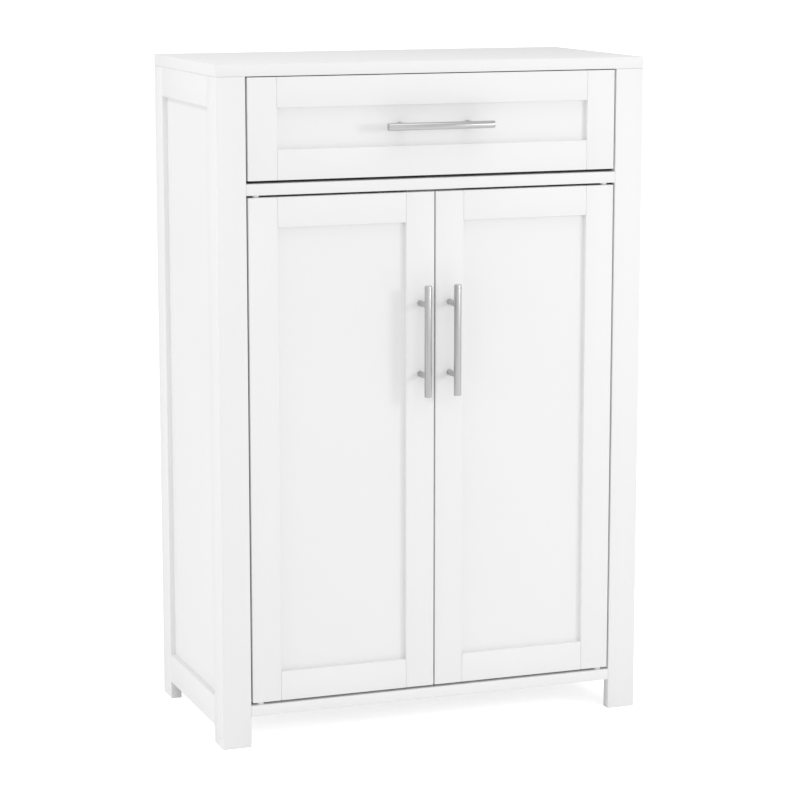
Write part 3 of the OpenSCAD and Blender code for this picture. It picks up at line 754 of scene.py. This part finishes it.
@dataclass(frozen=True)
class ScrewSize:
    """Sizes of a cross-recessed screw, all read from its plain CAD solid."""

    head_d: float
    head_h: float
    shank_d: float
    length: float
    domed: bool

    pitch: float = 1.3 * MM
    thread_share: float = 0.30
    segments: int = 24
    rows_per_turn: int = 4
    recess_share: float = 0.27
    arm_share: float = 0.28
    recess_taper: float = 0.62
    recess_depth: float = 0.7

    def outline_of_head(self) -> list[tuple[float, float]]:
        """The head's outline from its rim down to the shank, with the head's face at height 0."""
        radius = self.head_d / 2
        rim = min(self.head_h, radius) / (3 if self.domed else 10)
        if self.domed:
            arc = corner_arc(radius, 0.0, rim, rising=False, steps=4)
            return arc[::-1] + [(radius, -self.head_h), (self.shank_d / 2, -self.head_h)]
        return [(radius - rim / 3, 0.0), (radius, -rim / 2), (self.shank_d / 2, -self.head_h)]

    def recess(self, share: float, depth: float) -> list[Vector]:
        """The recess's cross outline.

        Args:
            share: Its size as a share of that at the head's face.
            depth: How far it lies under the head's face.

        Returns:
            Twelve points.
        """
        reach = self.head_d * self.recess_share * share
        half = reach * self.arm_share
        arm = [(reach, -half), (reach, half), (half, half)]
        points = []
        for turn in range(4):
            spin = Matrix.Rotation(turn * math.pi / 2, 2)
            points.extend(spin @ Vector(point) for point in arm)
        return [Vector((point.x, point.y, -depth)) for point in points]

    def add_head(self, mesh: bmesh.types.BMesh) -> list[bmesh.types.BMVert]:
        """Adds the head with its recess to a mesh.

        Args:
            mesh: The mesh that takes the head.

        Returns:
            The ring of vertices where the shank starts.
        """
        rings = [
            [mesh.verts.new((radius * math.cos(math.tau * i / self.segments),
                             radius * math.sin(math.tau * i / self.segments), height))
             for i in range(self.segments)]
            for radius, height in self.outline_of_head()
        ]
        for upper, lower in zip(rings, rings[1:]):
            self.join(mesh, upper, lower)
        mouth = [mesh.verts.new(point) for point in self.recess(1.0, 0.0)]
        floor = [mesh.verts.new(point)
                 for point in self.recess(self.recess_taper, self.head_h * self.recess_depth)]
        self.join(mesh, mouth, floor)
        mesh.faces.new(floor)
        edges = []
        for ring in (rings[0], mouth):
            for a, b in zip(ring, ring[1:] + ring[:1]):
                edges.append(mesh.edges.get((a, b)) or mesh.edges.new((a, b)))
        bmesh.ops.triangle_fill(mesh, edges=edges, use_beauty=True)
        return rings[-1]

    @staticmethod
    def join(mesh: bmesh.types.BMesh, upper: list, lower: list) -> None:
        """Closes the band between two rings of the same count."""
        count = len(upper)
        for i in range(count):
            j = (i + 1) % count
            mesh.faces.new([upper[i], upper[j], lower[j], lower[i]])

    def add_thread(self, mesh: bmesh.types.BMesh, start: list) -> None:
        """Adds the threaded shank and its point.

        Args:
            mesh: The mesh that takes the shank.
            start: The ring where the shank starts.
        """
        outer = self.shank_d / 2
        depth = outer * self.thread_share
        step = self.pitch / self.rows_per_turn
        point = self.shank_d
        rows = max(int((self.length - self.head_h - point) / step), 2)
        last = start
        for row in range(1, rows + 1):
            height = -self.head_h - row * step
            ring = []
            for i in range(self.segments):
                turn = (row / self.rows_per_turn - i / self.segments) % 1.0
                radius = outer - depth * abs(2 * turn - 1)
                angle = math.tau * i / self.segments
                ring.append(mesh.verts.new((radius * math.cos(angle), radius * math.sin(angle),
                                            height)))
            self.join(mesh, last, ring)
            last = ring
        tip = mesh.verts.new((0.0, 0.0, -self.length))
        for i in range(self.segments):
            mesh.faces.new([last[i], last[(i + 1) % self.segments], tip])

    def template(self) -> bpy.types.Object:
        """One screw with its head's face at the origin, facing +Z."""
        mesh = bmesh.new()
        self.add_thread(mesh, self.add_head(mesh))
        bmesh.ops.recalc_face_normals(mesh, faces=mesh.faces)
        soften(mesh)
        return placed("screw_template", mesh)


@dataclass(frozen=True)
class ScrewPlace:
    """Where a screw of the CAD model is, how it faces and how big it is."""

    face: Vector
    facing: Vector
    size: ScrewSize

    # The most that a shank's corners differ in radius, and the least that a dome comes in.
    SHANK_SLACK: ClassVar[float] = 0.05 * MM
    DOME_STEP: ClassVar[float] = 0.1 * MM

    @classmethod
    def read(cls, solid: Solid) -> "ScrewPlace":
        """Reads a screw from its plain solid.

        Args:
            solid: A solid turned round the longest side of its box.

        Returns:
            The screw's place and sizes.
        """
        size = solid.size
        axis = max(range(3), key=lambda i: size[i])
        centre = solid.centre
        spokes = [(corner[axis], math.dist(corner, centre[:axis] + (corner[axis],)
                                           + centre[axis + 1:])) for corner in solid.corners]
        head_r = max(radius for _, radius in spokes)
        widest = [height for height, radius in spokes if radius > head_r - SAME]
        upward = sum(widest) / len(widest) > centre[axis]
        top, tip = solid.high[axis], solid.low[axis]
        if not upward:
            top, tip = tip, top
        shank_r = max(radius for height, radius in spokes if abs(height - tip) < SAME)
        head_h = min(abs(height - top) for height, radius in spokes
                     if abs(radius - shank_r) < cls.SHANK_SLACK)
        face_r = max(radius for height, radius in spokes if abs(height - top) < SAME)
        face = centre.copy()
        face[axis] = top
        facing = Vector((0.0, 0.0, 0.0))
        facing[axis] = 1.0 if upward else -1.0
        sizes = (round(value, 5) for value in (2 * head_r, head_h, 2 * shank_r, abs(top - tip)))
        return cls(face, facing, ScrewSize(*sizes, domed=face_r < head_r - cls.DOME_STEP))


class Scatter:
    """Geometry Nodes tree that puts a template at each point of a mesh, facing as it says."""

    NAME = "scatter_fasteners"

    def __init__(self) -> None:
        """Builds the tree."""
        self.tree = bpy.data.node_groups.new(self.NAME, "GeometryNodeTree")
        self.ids: dict[str, str] = {}
        self._sockets()
        self._nodes()

    def _sockets(self) -> None:
        """Names the tree's inputs and its output."""
        face = self.tree.interface
        for name, kind in (("Places", "NodeSocketGeometry"), ("Template", "NodeSocketObject"),
                           ("Size", "NodeSocketFloat"), ("Most turn", "NodeSocketFloat"),
                           ("Seed", "NodeSocketInt"), ("Finish", "NodeSocketMaterial")):
            socket = face.new_socket(name, in_out="INPUT", socket_type=kind)
            self.ids[name] = socket.identifier
        face.new_socket("Pieces", in_out="OUTPUT", socket_type="NodeSocketGeometry")

    def _nodes(self) -> None:
        """Joins the tree's nodes."""
        sheet = NodeSheet(self.tree)
        given = sheet.add("NodeGroupInput").outputs
        facing = sheet.add("GeometryNodeInputNamedAttribute", {"Name": FACING},
                           data_type="FLOAT_VECTOR")
        aligned = sheet.add("FunctionNodeAlignRotationToVector",
                            {"Vector": sheet.result(facing)}, axis="Z")
        turn = sheet.add("FunctionNodeRandomValue", {"Min": 0.0, "Max": given["Most turn"],
                                                     "Seed": given["Seed"]}, data_type="FLOAT")
        spin = sheet.add("FunctionNodeAxisAngleToRotation",
                         {"Axis": (0.0, 0.0, 1.0), "Angle": sheet.result(turn)})
        rotation = sheet.add("FunctionNodeRotateRotation",
                             {"Rotation": sheet.result(aligned), "Rotate By": sheet.result(spin)},
                             rotation_space="LOCAL")
        template = sheet.add("GeometryNodeObjectInfo", {"Object": given["Template"]})
        scattered = sheet.add("GeometryNodeInstanceOnPoints",
                              {"Points": given["Places"],
                               "Instance": template.outputs["Geometry"],
                               "Rotation": sheet.result(rotation), "Scale": given["Size"]})
        real = sheet.add("GeometryNodeRealizeInstances",
                         {"Geometry": sheet.result(scattered)})
        dressed = sheet.add("GeometryNodeSetMaterial",
                            {"Geometry": sheet.result(real), "Material": given["Finish"]})
        sheet.add("NodeGroupOutput", {"Pieces": sheet.result(dressed)})

    def run(self, name: str, places: Sequence[tuple[Vector, Vector]], template: bpy.types.Object,
            finish: bpy.types.Material, most_turn: float, seed: int) -> bpy.types.Object:
        """Puts the template at every place.

        Args:
            name: Name of the result.
            places: Points and the ways that the template faces there.
            template: The object to repeat, removed afterwards.
            finish: The result's material.
            most_turn: Largest random turn about the template's own axis.
            seed: Seed of the turns.

        Returns:
            One plain mesh object.
        """
        mesh = bmesh.new()
        facing = mesh.verts.layers.float_vector.new(FACING)
        for point, way in places:
            mesh.verts.new(point)[facing] = way
        holder = placed(f"{name}_places", mesh)
        given = {"Template": template, "Size": 1.0, "Most turn": most_turn, "Seed": seed,
                 "Finish": finish}
        piece = grown(holder, self.tree, {self.ids[key]: value for key, value in given.items()},
                      name)
        bpy.data.objects.remove(template)
        return piece


def grown(holder: bpy.types.Object, tree: bpy.types.NodeTree, given: dict[str, object],
          name: str) -> bpy.types.Object:
    """Runs a Geometry Nodes tree on a holder and keeps the result as a plain mesh.

    Args:
        holder: The object that carries the tree, removed afterwards.
        tree: The tree.
        given: For each input's identifier, its value.
        name: Name of the result.

    Returns:
        The new object, with no modifier.
    """
    modifier = holder.modifiers.new("grow", "NODES")
    modifier.node_group = tree
    for identifier, value in given.items():
        modifier[identifier] = value
    bpy.context.view_layer.update()
    graph = bpy.context.evaluated_depsgraph_get()
    data = bpy.data.meshes.new_from_object(holder.evaluated_get(graph),
                                           preserve_all_data_layers=True, depsgraph=graph)
    data.name = name
    piece = bpy.data.objects.new(name, data)
    bpy.context.scene.collection.objects.link(piece)
    bpy.data.objects.remove(holder)
    return piece


def joined(name: str, pieces: Sequence[bpy.types.Object]) -> bpy.types.Object:
    """Joins objects at the origin into one.

    Args:
        name: Name of the result.
        pieces: The objects, removed afterwards.

    Returns:
        The one object.
    """
    mesh = bmesh.new()
    for piece in pieces:
        mesh.from_mesh(piece.data)
        bpy.data.objects.remove(piece)
    return placed(name, mesh)


@dataclass
class Screws:
    """All screws of one CAD node, each with a head, a cross recess and a thread."""

    node: str
    body: str
    seed: int = 7
    finish: Finish = ZINC

    def make(self, scatter: Scatter) -> bpy.types.Object:
        """Makes a template for every size of screw and puts it where the CAD has one.

        Args:
            scatter: The tree that repeats a template.

        Returns:
            The piece.
        """
        groups: dict[ScrewSize, list[ScrewPlace]] = {}
        for solid in solids_of(self.node):
            place = ScrewPlace.read(solid)
            groups.setdefault(place.size, []).append(place)
        material = self.finish.material(Axis.Z)
        batches = [
            scatter.run(f"{self.node}_{i}", [(place.face, place.facing) for place in places],
                        size.template(), material, math.pi / 2, self.seed + i)
            for i, (size, places) in enumerate(groups.items())
        ]
        piece = joined(f"{self.node}_driven", batches)
        keep(piece, self.finish, Axis.Z, self.body, [self.node])
        return piece


# ---------------------------------------------------------------- handles


@dataclass
class BarHandle:
    """Brushed bar on two posts, with sizes read from the CAD handle."""

    node: str
    body: str
    along: Axis
    rim: float = 0.7 * MM
    foot: float = 0.4 * MM
    sink: float = 1.5 * MM
    segments: int = 64
    finish: Finish = NICKEL

    def make(self) -> bpy.types.Object:
        """Turns the bar and its posts.

        Returns:
            The piece.
        """
        low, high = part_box(self.node)
        size, centre = high - low, (high + low) / 2
        along = self.along.value
        side = Axis.X.value if self.along is Axis.Z else Axis.Z.value
        length, radius = size[along], size[side] / 2
        centre.y = low.y + radius
        mesh = bmesh.new()
        lie = Vector((0, 0, 1)).rotation_difference(self._unit(along)).to_matrix().to_4x4()
        bar = [(0.0, -length / 2), *corner_arc(radius, -length / 2, self.rim, rising=True),
               *corner_arc(radius, length / 2, self.rim, rising=False), (0.0, length / 2)]
        turned(mesh, bar, Matrix.Translation(centre) @ lie, self.segments)
        for middle, post_r in self._posts(high.y, along):
            reach = middle.y - (centre.y + math.sqrt(radius ** 2 - post_r ** 2)) + self.sink
            post = [(0.0, 0.0), *corner_arc(post_r, 0.0, self.foot, rising=True),
                    (post_r, reach), (0.0, reach)]
            stand = Matrix.Rotation(math.radians(90.0), 4, "X")
            turned(mesh, post, Matrix.Translation(middle) @ stand, self.segments)
        soften(mesh)
        piece = placed(f"{self.node}_turned", mesh)
        keep(piece, self.finish, self.along, self.body, [self.node])
        return piece

    @staticmethod
    def _unit(axis: int) -> Vector:
        """The unit vector of an axis."""
        return Vector(1.0 if i == axis else 0.0 for i in range(3))

    def _posts(self, seat_y: float, along: int) -> list[tuple[Vector, float]]:
        """Reads the posts from the corners that lie on the seat.

        Args:
            seat_y: The plane that the posts stand on.
            along: The axis that the posts are apart on.

        Returns:
            For each post, the middle of its foot and its radius.
        """
        feet = [v.co for v in frame["nodes"][self.node].data.vertices
                if abs(v.co.y - seat_y) < SAME]
        middle = sum(foot[along] for foot in feet) / len(feet)
        posts = []
        for group in ([f for f in feet if f[along] < middle], [f for f in feet if f[along] > middle]):
            solid = Solid(tuple(group))
            posts.append((solid.centre, solid.size[along] / 2))
        return posts


# ---------------------------------------------------------------- slides


class BallRows:
    """Geometry Nodes tree that fills a slide's cage with its two rows of balls."""

    NAME = "rows_of_balls"

    def __init__(self) -> None:
        """Builds the tree."""
        self.tree = bpy.data.node_groups.new(self.NAME, "GeometryNodeTree")
        self.ids: dict[str, str] = {}
        face = self.tree.interface
        face.new_socket("Geometry", in_out="INPUT", socket_type="NodeSocketGeometry")
        for name, kind in (("Balls in a row", "NodeSocketInt"), ("Pitch", "NodeSocketFloat"),
                           ("Row spacing", "NodeSocketFloat"), ("Ball radius", "NodeSocketFloat"),
                           ("First ball", "NodeSocketVector"), ("Finish", "NodeSocketMaterial")):
            self.ids[name] = face.new_socket(name, in_out="INPUT", socket_type=kind).identifier
        face.new_socket("Balls", in_out="OUTPUT", socket_type="NodeSocketGeometry")
        self._nodes()

    def _nodes(self) -> None:
        """Joins the tree's nodes."""
        sheet = NodeSheet(self.tree)
        given = sheet.add("NodeGroupInput").outputs
        step = sheet.add("ShaderNodeCombineXYZ", {"Y": given["Pitch"]})
        rise = sheet.add("ShaderNodeCombineXYZ", {"Z": given["Row spacing"]})
        row = sheet.add("GeometryNodeMeshLine",
                        {"Count": given["Balls in a row"], "Start Location": given["First ball"],
                         "Offset": sheet.result(step)}, mode="OFFSET")
        rows = sheet.add("GeometryNodeMeshLine", {"Count": 2, "Offset": sheet.result(rise)},
                         mode="OFFSET")
        doubled = sheet.add("GeometryNodeInstanceOnPoints",
                            {"Points": sheet.result(rows), "Instance": sheet.result(row)})
        places = sheet.add("GeometryNodeRealizeInstances", {"Geometry": sheet.result(doubled)})
        ball = sheet.add("GeometryNodeMeshIcoSphere",
                         {"Radius": given["Ball radius"], "Subdivisions": 4})
        smooth = sheet.add("GeometryNodeSetShadeSmooth", {"Geometry": ball.outputs["Mesh"]})
        balls = sheet.add("GeometryNodeInstanceOnPoints",
                          {"Points": sheet.result(places), "Instance": sheet.result(smooth)})
        real = sheet.add("GeometryNodeRealizeInstances", {"Geometry": sheet.result(balls)})
        dressed = sheet.add("GeometryNodeSetMaterial",
                            {"Geometry": sheet.result(real), "Material": given["Finish"]})
        sheet.add("NodeGroupOutput", {"Balls": sheet.result(dressed)})


@dataclass
class Slide:
    """Ball-bearing slide on one side: outer member, cage with its balls, inner member."""

    side: Side
    ease: float = 0.25 * MM
    shortest: float = 4 * MM
    finish: Finish = SLIDE_STEEL

    def make(self, rows: BallRows) -> None:
        """Makes the members and the cage.

        Args:
            rows: The tree that makes the balls.
        """
        side = self.side.value
        for node, body in ((f"{side}_slide_outer", "carcass"), (f"{side}_slide_inner", "drawer")):
            Board(node, Axis.Y, self.ease, self.finish, self.shortest).make(body)
        self._cage(f"{side}_slide_cage", f"{side}_cage", rows)

    def _cage(self, node: str, body: str, rows: BallRows) -> None:
        """Makes the cage's strip and its rows of balls.

        Args:
            node: The CAD cage.
            body: The CAD body that it moves with.
            rows: The tree that makes the balls.
        """
        balls = self._balls(node)
        heights = sorted(ball.centre.z for ball in balls)
        lower = sorted((ball for ball in balls if ball.centre.z < sum(heights) / len(heights)),
                       key=lambda ball: ball.centre.y)
        holder = placed(f"{node}_holder", bmesh.new())
        given = {"Balls in a row": len(lower),
                 "Pitch": lower[1].centre.y - lower[0].centre.y,
                 "Row spacing": heights[-1] - heights[0],
                 "Ball radius": max(lower[0].size) / 2,
                 "First ball": lower[0].centre,
                 "Finish": self.finish.material(Axis.Y)}
        made = grown(holder, rows.tree, {rows.ids[key]: value for key, value in given.items()},
                     f"{node}_balls")
        keep(made, self.finish, Axis.Y, body, [])
        strip = self._strip(node)
        keep(strip, self.finish, Axis.Y, body, [node])

    @staticmethod
    def _balls(node: str) -> list[Solid]:
        """The round solids of a CAD cage, told by boxes that are nowhere near flat or long."""
        return [solid for solid in solids_of(node) if max(solid.size) < 2 * min(solid.size)]

    @classmethod
    def _strip(cls, node: str) -> bpy.types.Object:
        """Copies the cage without its balls.

        Args:
            node: The CAD cage.

        Returns:
            The strip.
        """
        mesh = copied(node)
        spots = {corner.freeze() for ball in cls._balls(node) for corner in ball.corners}
        gone = [vertex for vertex in mesh.verts if vertex.co.copy().freeze() in spots]
        bmesh.ops.delete(mesh, geom=gone, context="VERTS")
        soften(mesh)
        return placed(f"{node}_strip", mesh)


# ---------------------------------------------------------------- sub-assemblies


@dataclass
class Carcass:
    """Legs, side frames, boards, back and the hardware that stays with them."""

    body: str = "carcass"
    outer_ease: float = 0.8 * MM
    joint_ease: float = 0.4 * MM
    inner_ease: float = 0.6 * MM
    screws: Screws = field(default_factory=lambda: Screws("carcass_screws", "carcass"))

    def boards(self) -> Iterable[Board]:
        """The boards with their grain and rounding."""
        yield Board("top_board", Axis.X, self.outer_ease, LACQUER)
        for side in Side:
            for place in ("front", "rear"):
                yield Board(f"{place}_{side.value}_leg", Axis.Z, self.outer_ease, LACQUER)
            for place in ("top", "bottom"):
                yield Board(f"{side.value}_side_{place}_rail", Axis.Y, self.joint_ease, LACQUER)
            yield Board(f"{side.value}_side_panel", Axis.Z, self.joint_ease, LACQUER)
        for name in ("divider_board", "bottom_board", "lower_shelf", "upper_shelf"):
            yield Board(name, Axis.X, self.inner_ease, LACQUER)
        yield Board("back_panel", Axis.Z, self.joint_ease, HARDBOARD)
        yield Board("rear_top_rail", Axis.X, self.inner_ease, RAW_BOARD)
        yield Board("runner_battens", Axis.Y, self.inner_ease, RAW_BOARD)

    def hardware(self) -> Iterable[Board]:
        """The plain hardware with its rounding."""
        tiny = 0.15 * MM
        yield Board("shelf_pins", Axis.X, 0.3 * MM, ZINC, tiny)
        yield Board("pivot_bushings", Axis.Z, 0.25 * MM, NYLON, tiny)
        yield Board("catch_housing", Axis.X, 0.8 * MM, NYLON, 2 * MM, 3)
        yield Board("catch_magnets", Axis.X, 0.4 * MM, FERRITE, 2 * MM)
        yield Board("cam_fittings", Axis.Z, 0.2 * MM, ZINC, tiny)

    def make(self, scatter: Scatter) -> None:
        """Makes the boards, the hardware and the screws.

        Args:
            scatter: The tree that repeats a template.
        """
        for part in (*self.boards(), *self.hardware()):
            part.make(self.body)
        self.screws.make(scatter)


@dataclass
class Drawer:
    """Framed front, box, handle and screws of the drawer."""

    body: str = "drawer"
    joint_ease: float = 0.75 * MM
    box_ease: float = 0.6 * MM

    def boards(self) -> Iterable[Board]:
        """The boards with their grain and rounding."""
        for side in Side:
            yield Board(f"drawer_front_{side.value}_stile", Axis.Z, self.joint_ease, LACQUER)
            yield Board(f"drawer_{side.value}_side", Axis.Y, self.box_ease, RAW_BOARD)
        for name in ("top_rail", "bottom_rail", "panel"):
            yield Board(f"drawer_front_{name}", Axis.X, self.joint_ease, LACQUER)
        for name in ("inner_front", "back", "bottom"):
            yield Board(f"drawer_{name}", Axis.X, self.box_ease, RAW_BOARD)

    def make(self, scatter: Scatter) -> None:
        """Makes the boards, the handle and the screws.

        Args:
            scatter: The tree that repeats a template.
        """
        for board in self.boards():
            board.make(self.body)
        BarHandle("drawer_handle", self.body, Axis.X).make()
        Screws("drawer_screws", self.body, seed=21).make(scatter)


@dataclass
class Door:
    """Framed door on two pivot pins, with its handle, strike plate and screws."""

    side: Side
    joint_ease: float = 0.75 * MM
    seed: int = 40

    @property
    def body(self) -> str:
        """The CAD body of this door."""
        return f"{self.side.value}_door"

    def parts(self) -> Iterable[Board]:
        """The door's boards and plain hardware."""
        for name in ("outer_stile", "inner_stile"):
            yield Board(f"{self.body}_{name}", Axis.Z, self.joint_ease, LACQUER)
        for name in ("top_rail", "bottom_rail"):
            yield Board(f"{self.body}_{name}", Axis.X, self.joint_ease, LACQUER)
        yield Board(f"{self.body}_panel", Axis.Z, self.joint_ease, LACQUER)
        yield Board(f"{self.body}_pivot_pins", Axis.Z, 0.3 * MM, ZINC, 0.1 * MM)
        yield Board(f"{self.body}_strike_plate", Axis.X, 0.25 * MM, ZINC, 2 * MM)

    def make(self, scatter: Scatter) -> None:
        """Makes the boards, the hardware, the handle and the screws.

        Args:
            scatter: The tree that repeats a template.
        """
        for part in self.parts():
            part.make(self.body)
        BarHandle(f"{self.body}_handle", self.body, Axis.Z).make()
        Screws(f"{self.body}_screws", self.body, self.seed).make(scatter)


# ---------------------------------------------------------------- studio


@dataclass(frozen=True)
class Softbox:
    """A square light, by its turn and rise in degrees as seen from the cabinet, and its distance."""

    name: str
    azimuth: float
    elevation: float
    distance: float
    side: float
    watts: float
    mirrored: bool = True

    def make(self, aim: Vector) -> None:
        """Hangs the light and turns it to the aim.

        Args:
            aim: The point that it looks at.
        """
        data = bpy.data.lights.new(self.name, "AREA")
        data.shape = "SQUARE"
        data.size = self.side
        data.energy = self.watts
        light = bpy.data.objects.new(self.name, data)
        bpy.context.scene.collection.objects.link(light)
        turn, rise = math.radians(self.azimuth), math.radians(self.elevation)
        away = Vector((math.sin(turn) * math.cos(rise), -math.cos(turn) * math.cos(rise),
                       math.sin(rise)))
        light.location = aim + away * self.distance
        light.rotation_euler = away.to_track_quat("Z", "Y").to_euler()
        light.visible_camera = False
        light.visible_glossy = self.mirrored


@dataclass
class Studio:
    """Pale floor, soft lights, even surroundings and the camera."""

    floor_span: float = 60.0
    floor_colour: Colour = (0.90, 0.90, 0.90)
    floor_tone: float = 1.01
    floor_patch: float = 3.0
    floor_glow: float = 0.075
    floor_shine: float = 0.6
    surround: float = 0.775
    backdrop: float = 1.05
    camera_place: Vector = field(default_factory=lambda: Vector((-1.280, -3.470, 1.100)))
    camera_yaw: float = 20.23
    camera_pitch: float = 10.17
    camera_lens: float = 121.1
    sensor: float = 36.0
    softboxes: tuple[Softbox, ...] = (
        Softbox("key_softbox", 38.0, 14.0, 2.2, 0.4, 7.1),
        Softbox("front_softbox", -6.0, 20.0, 3.6, 2.2, 8.5),
        Softbox("side_softbox", -86.0, 4.0, 4.5, 2.4, 36.0, mirrored=False),
        Softbox("rail_softbox", -90.0, 47.0, 3.5, 0.4, 16.2, mirrored=False),
        Softbox("top_softbox", 8.0, 70.0, 3.0, 1.6, 11.0),
    )

    def make(self) -> None:
        """Makes the floor, the lights and the camera."""
        self._floor()
        low, high = (Vector(corner) for corner in CAD_BOX)
        for softbox in self.softboxes:
            softbox.make((low + high) / 2)
        self._surroundings()
        self._camera()

    def _floor(self) -> None:
        """Lays the floor under the legs."""
        mesh = bmesh.new()
        bmesh.ops.create_grid(mesh, x_segments=1, y_segments=1, size=self.floor_span / 2)
        floor = placed("studio_floor", mesh)
        material = bpy.data.materials.new("studio_floor")
        material.use_nodes = True
        sheet = NodeSheet(material.node_tree)
        shader = material.node_tree.nodes["Principled BSDF"]
        mottle = sheet.noise(sheet.coordinates(), self.floor_patch)
        sheet.feed(shader.inputs["Base Color"],
                   sheet.mixed(mottle, opaque(self.floor_colour),
                               opaque(shade(self.floor_colour, self.floor_tone))))
        shader.inputs["Emission Color"].default_value = opaque((1.0, 1.0, 1.0))
        seen = sheet.add("ShaderNodeLightPath").outputs["Is Camera Ray"]
        sheet.feed(shader.inputs["Emission Strength"],
                   sheet.spread(seen, self.floor_glow, self.floor_shine, 0.0, 1.0))
        shader.inputs["Roughness"].default_value = 0.9
        shader.inputs["Specular IOR Level"].default_value = 0.1
        floor.data.materials.append(material)

    def _surroundings(self) -> None:
        """Lights the scene evenly and leaves the backdrop white."""
        scene = bpy.context.scene
        world = bpy.data.worlds.new("studio")
        world.use_nodes = True
        scene.world = world
        sheet = NodeSheet(world.node_tree)
        background = world.node_tree.nodes["Background"]
        seen = sheet.add("ShaderNodeLightPath").outputs["Is Camera Ray"]
        strength = sheet.spread(seen, self.surround, self.backdrop, 0.0, 1.0)
        background.inputs["Color"].default_value = (1.0, 1.0, 1.0, 1.0)
        sheet.feed(background.inputs["Strength"], strength)
        scene.view_settings.view_transform = "Standard"

    def _camera(self) -> None:
        """Sets the camera in front of the cabinet, to its left and a little above it."""
        data = bpy.data.cameras.new("studio_camera")
        data.lens = self.camera_lens
        data.sensor_width = self.sensor
        data.clip_end = 2 * self.floor_span
        camera = bpy.data.objects.new("studio_camera", data)
        bpy.context.scene.collection.objects.link(camera)
        turn = Matrix.Rotation(-math.radians(self.camera_yaw), 4, "Z")
        tilt = Matrix.Rotation(math.radians(90.0 - self.camera_pitch), 4, "X")
        camera.matrix_world = Matrix.Translation(self.camera_place) @ turn @ tilt
        bpy.context.scene.camera = camera


def main() -> None:
    """Builds the cabinet's sub-assemblies in order, then the studio round them."""
    logging.basicConfig(level=logging.INFO, format="%(name)s: %(message)s")
    scatter = Scatter()
    rows = BallRows()
    Carcass().make(scatter)
    Drawer().make(scatter)
    for side in Side:
        Slide(side).make(rows)
        Door(side).make(scatter)
    Studio().make()
    bpy.context.view_layer.update()


if __name__ == "__main__":
    main()
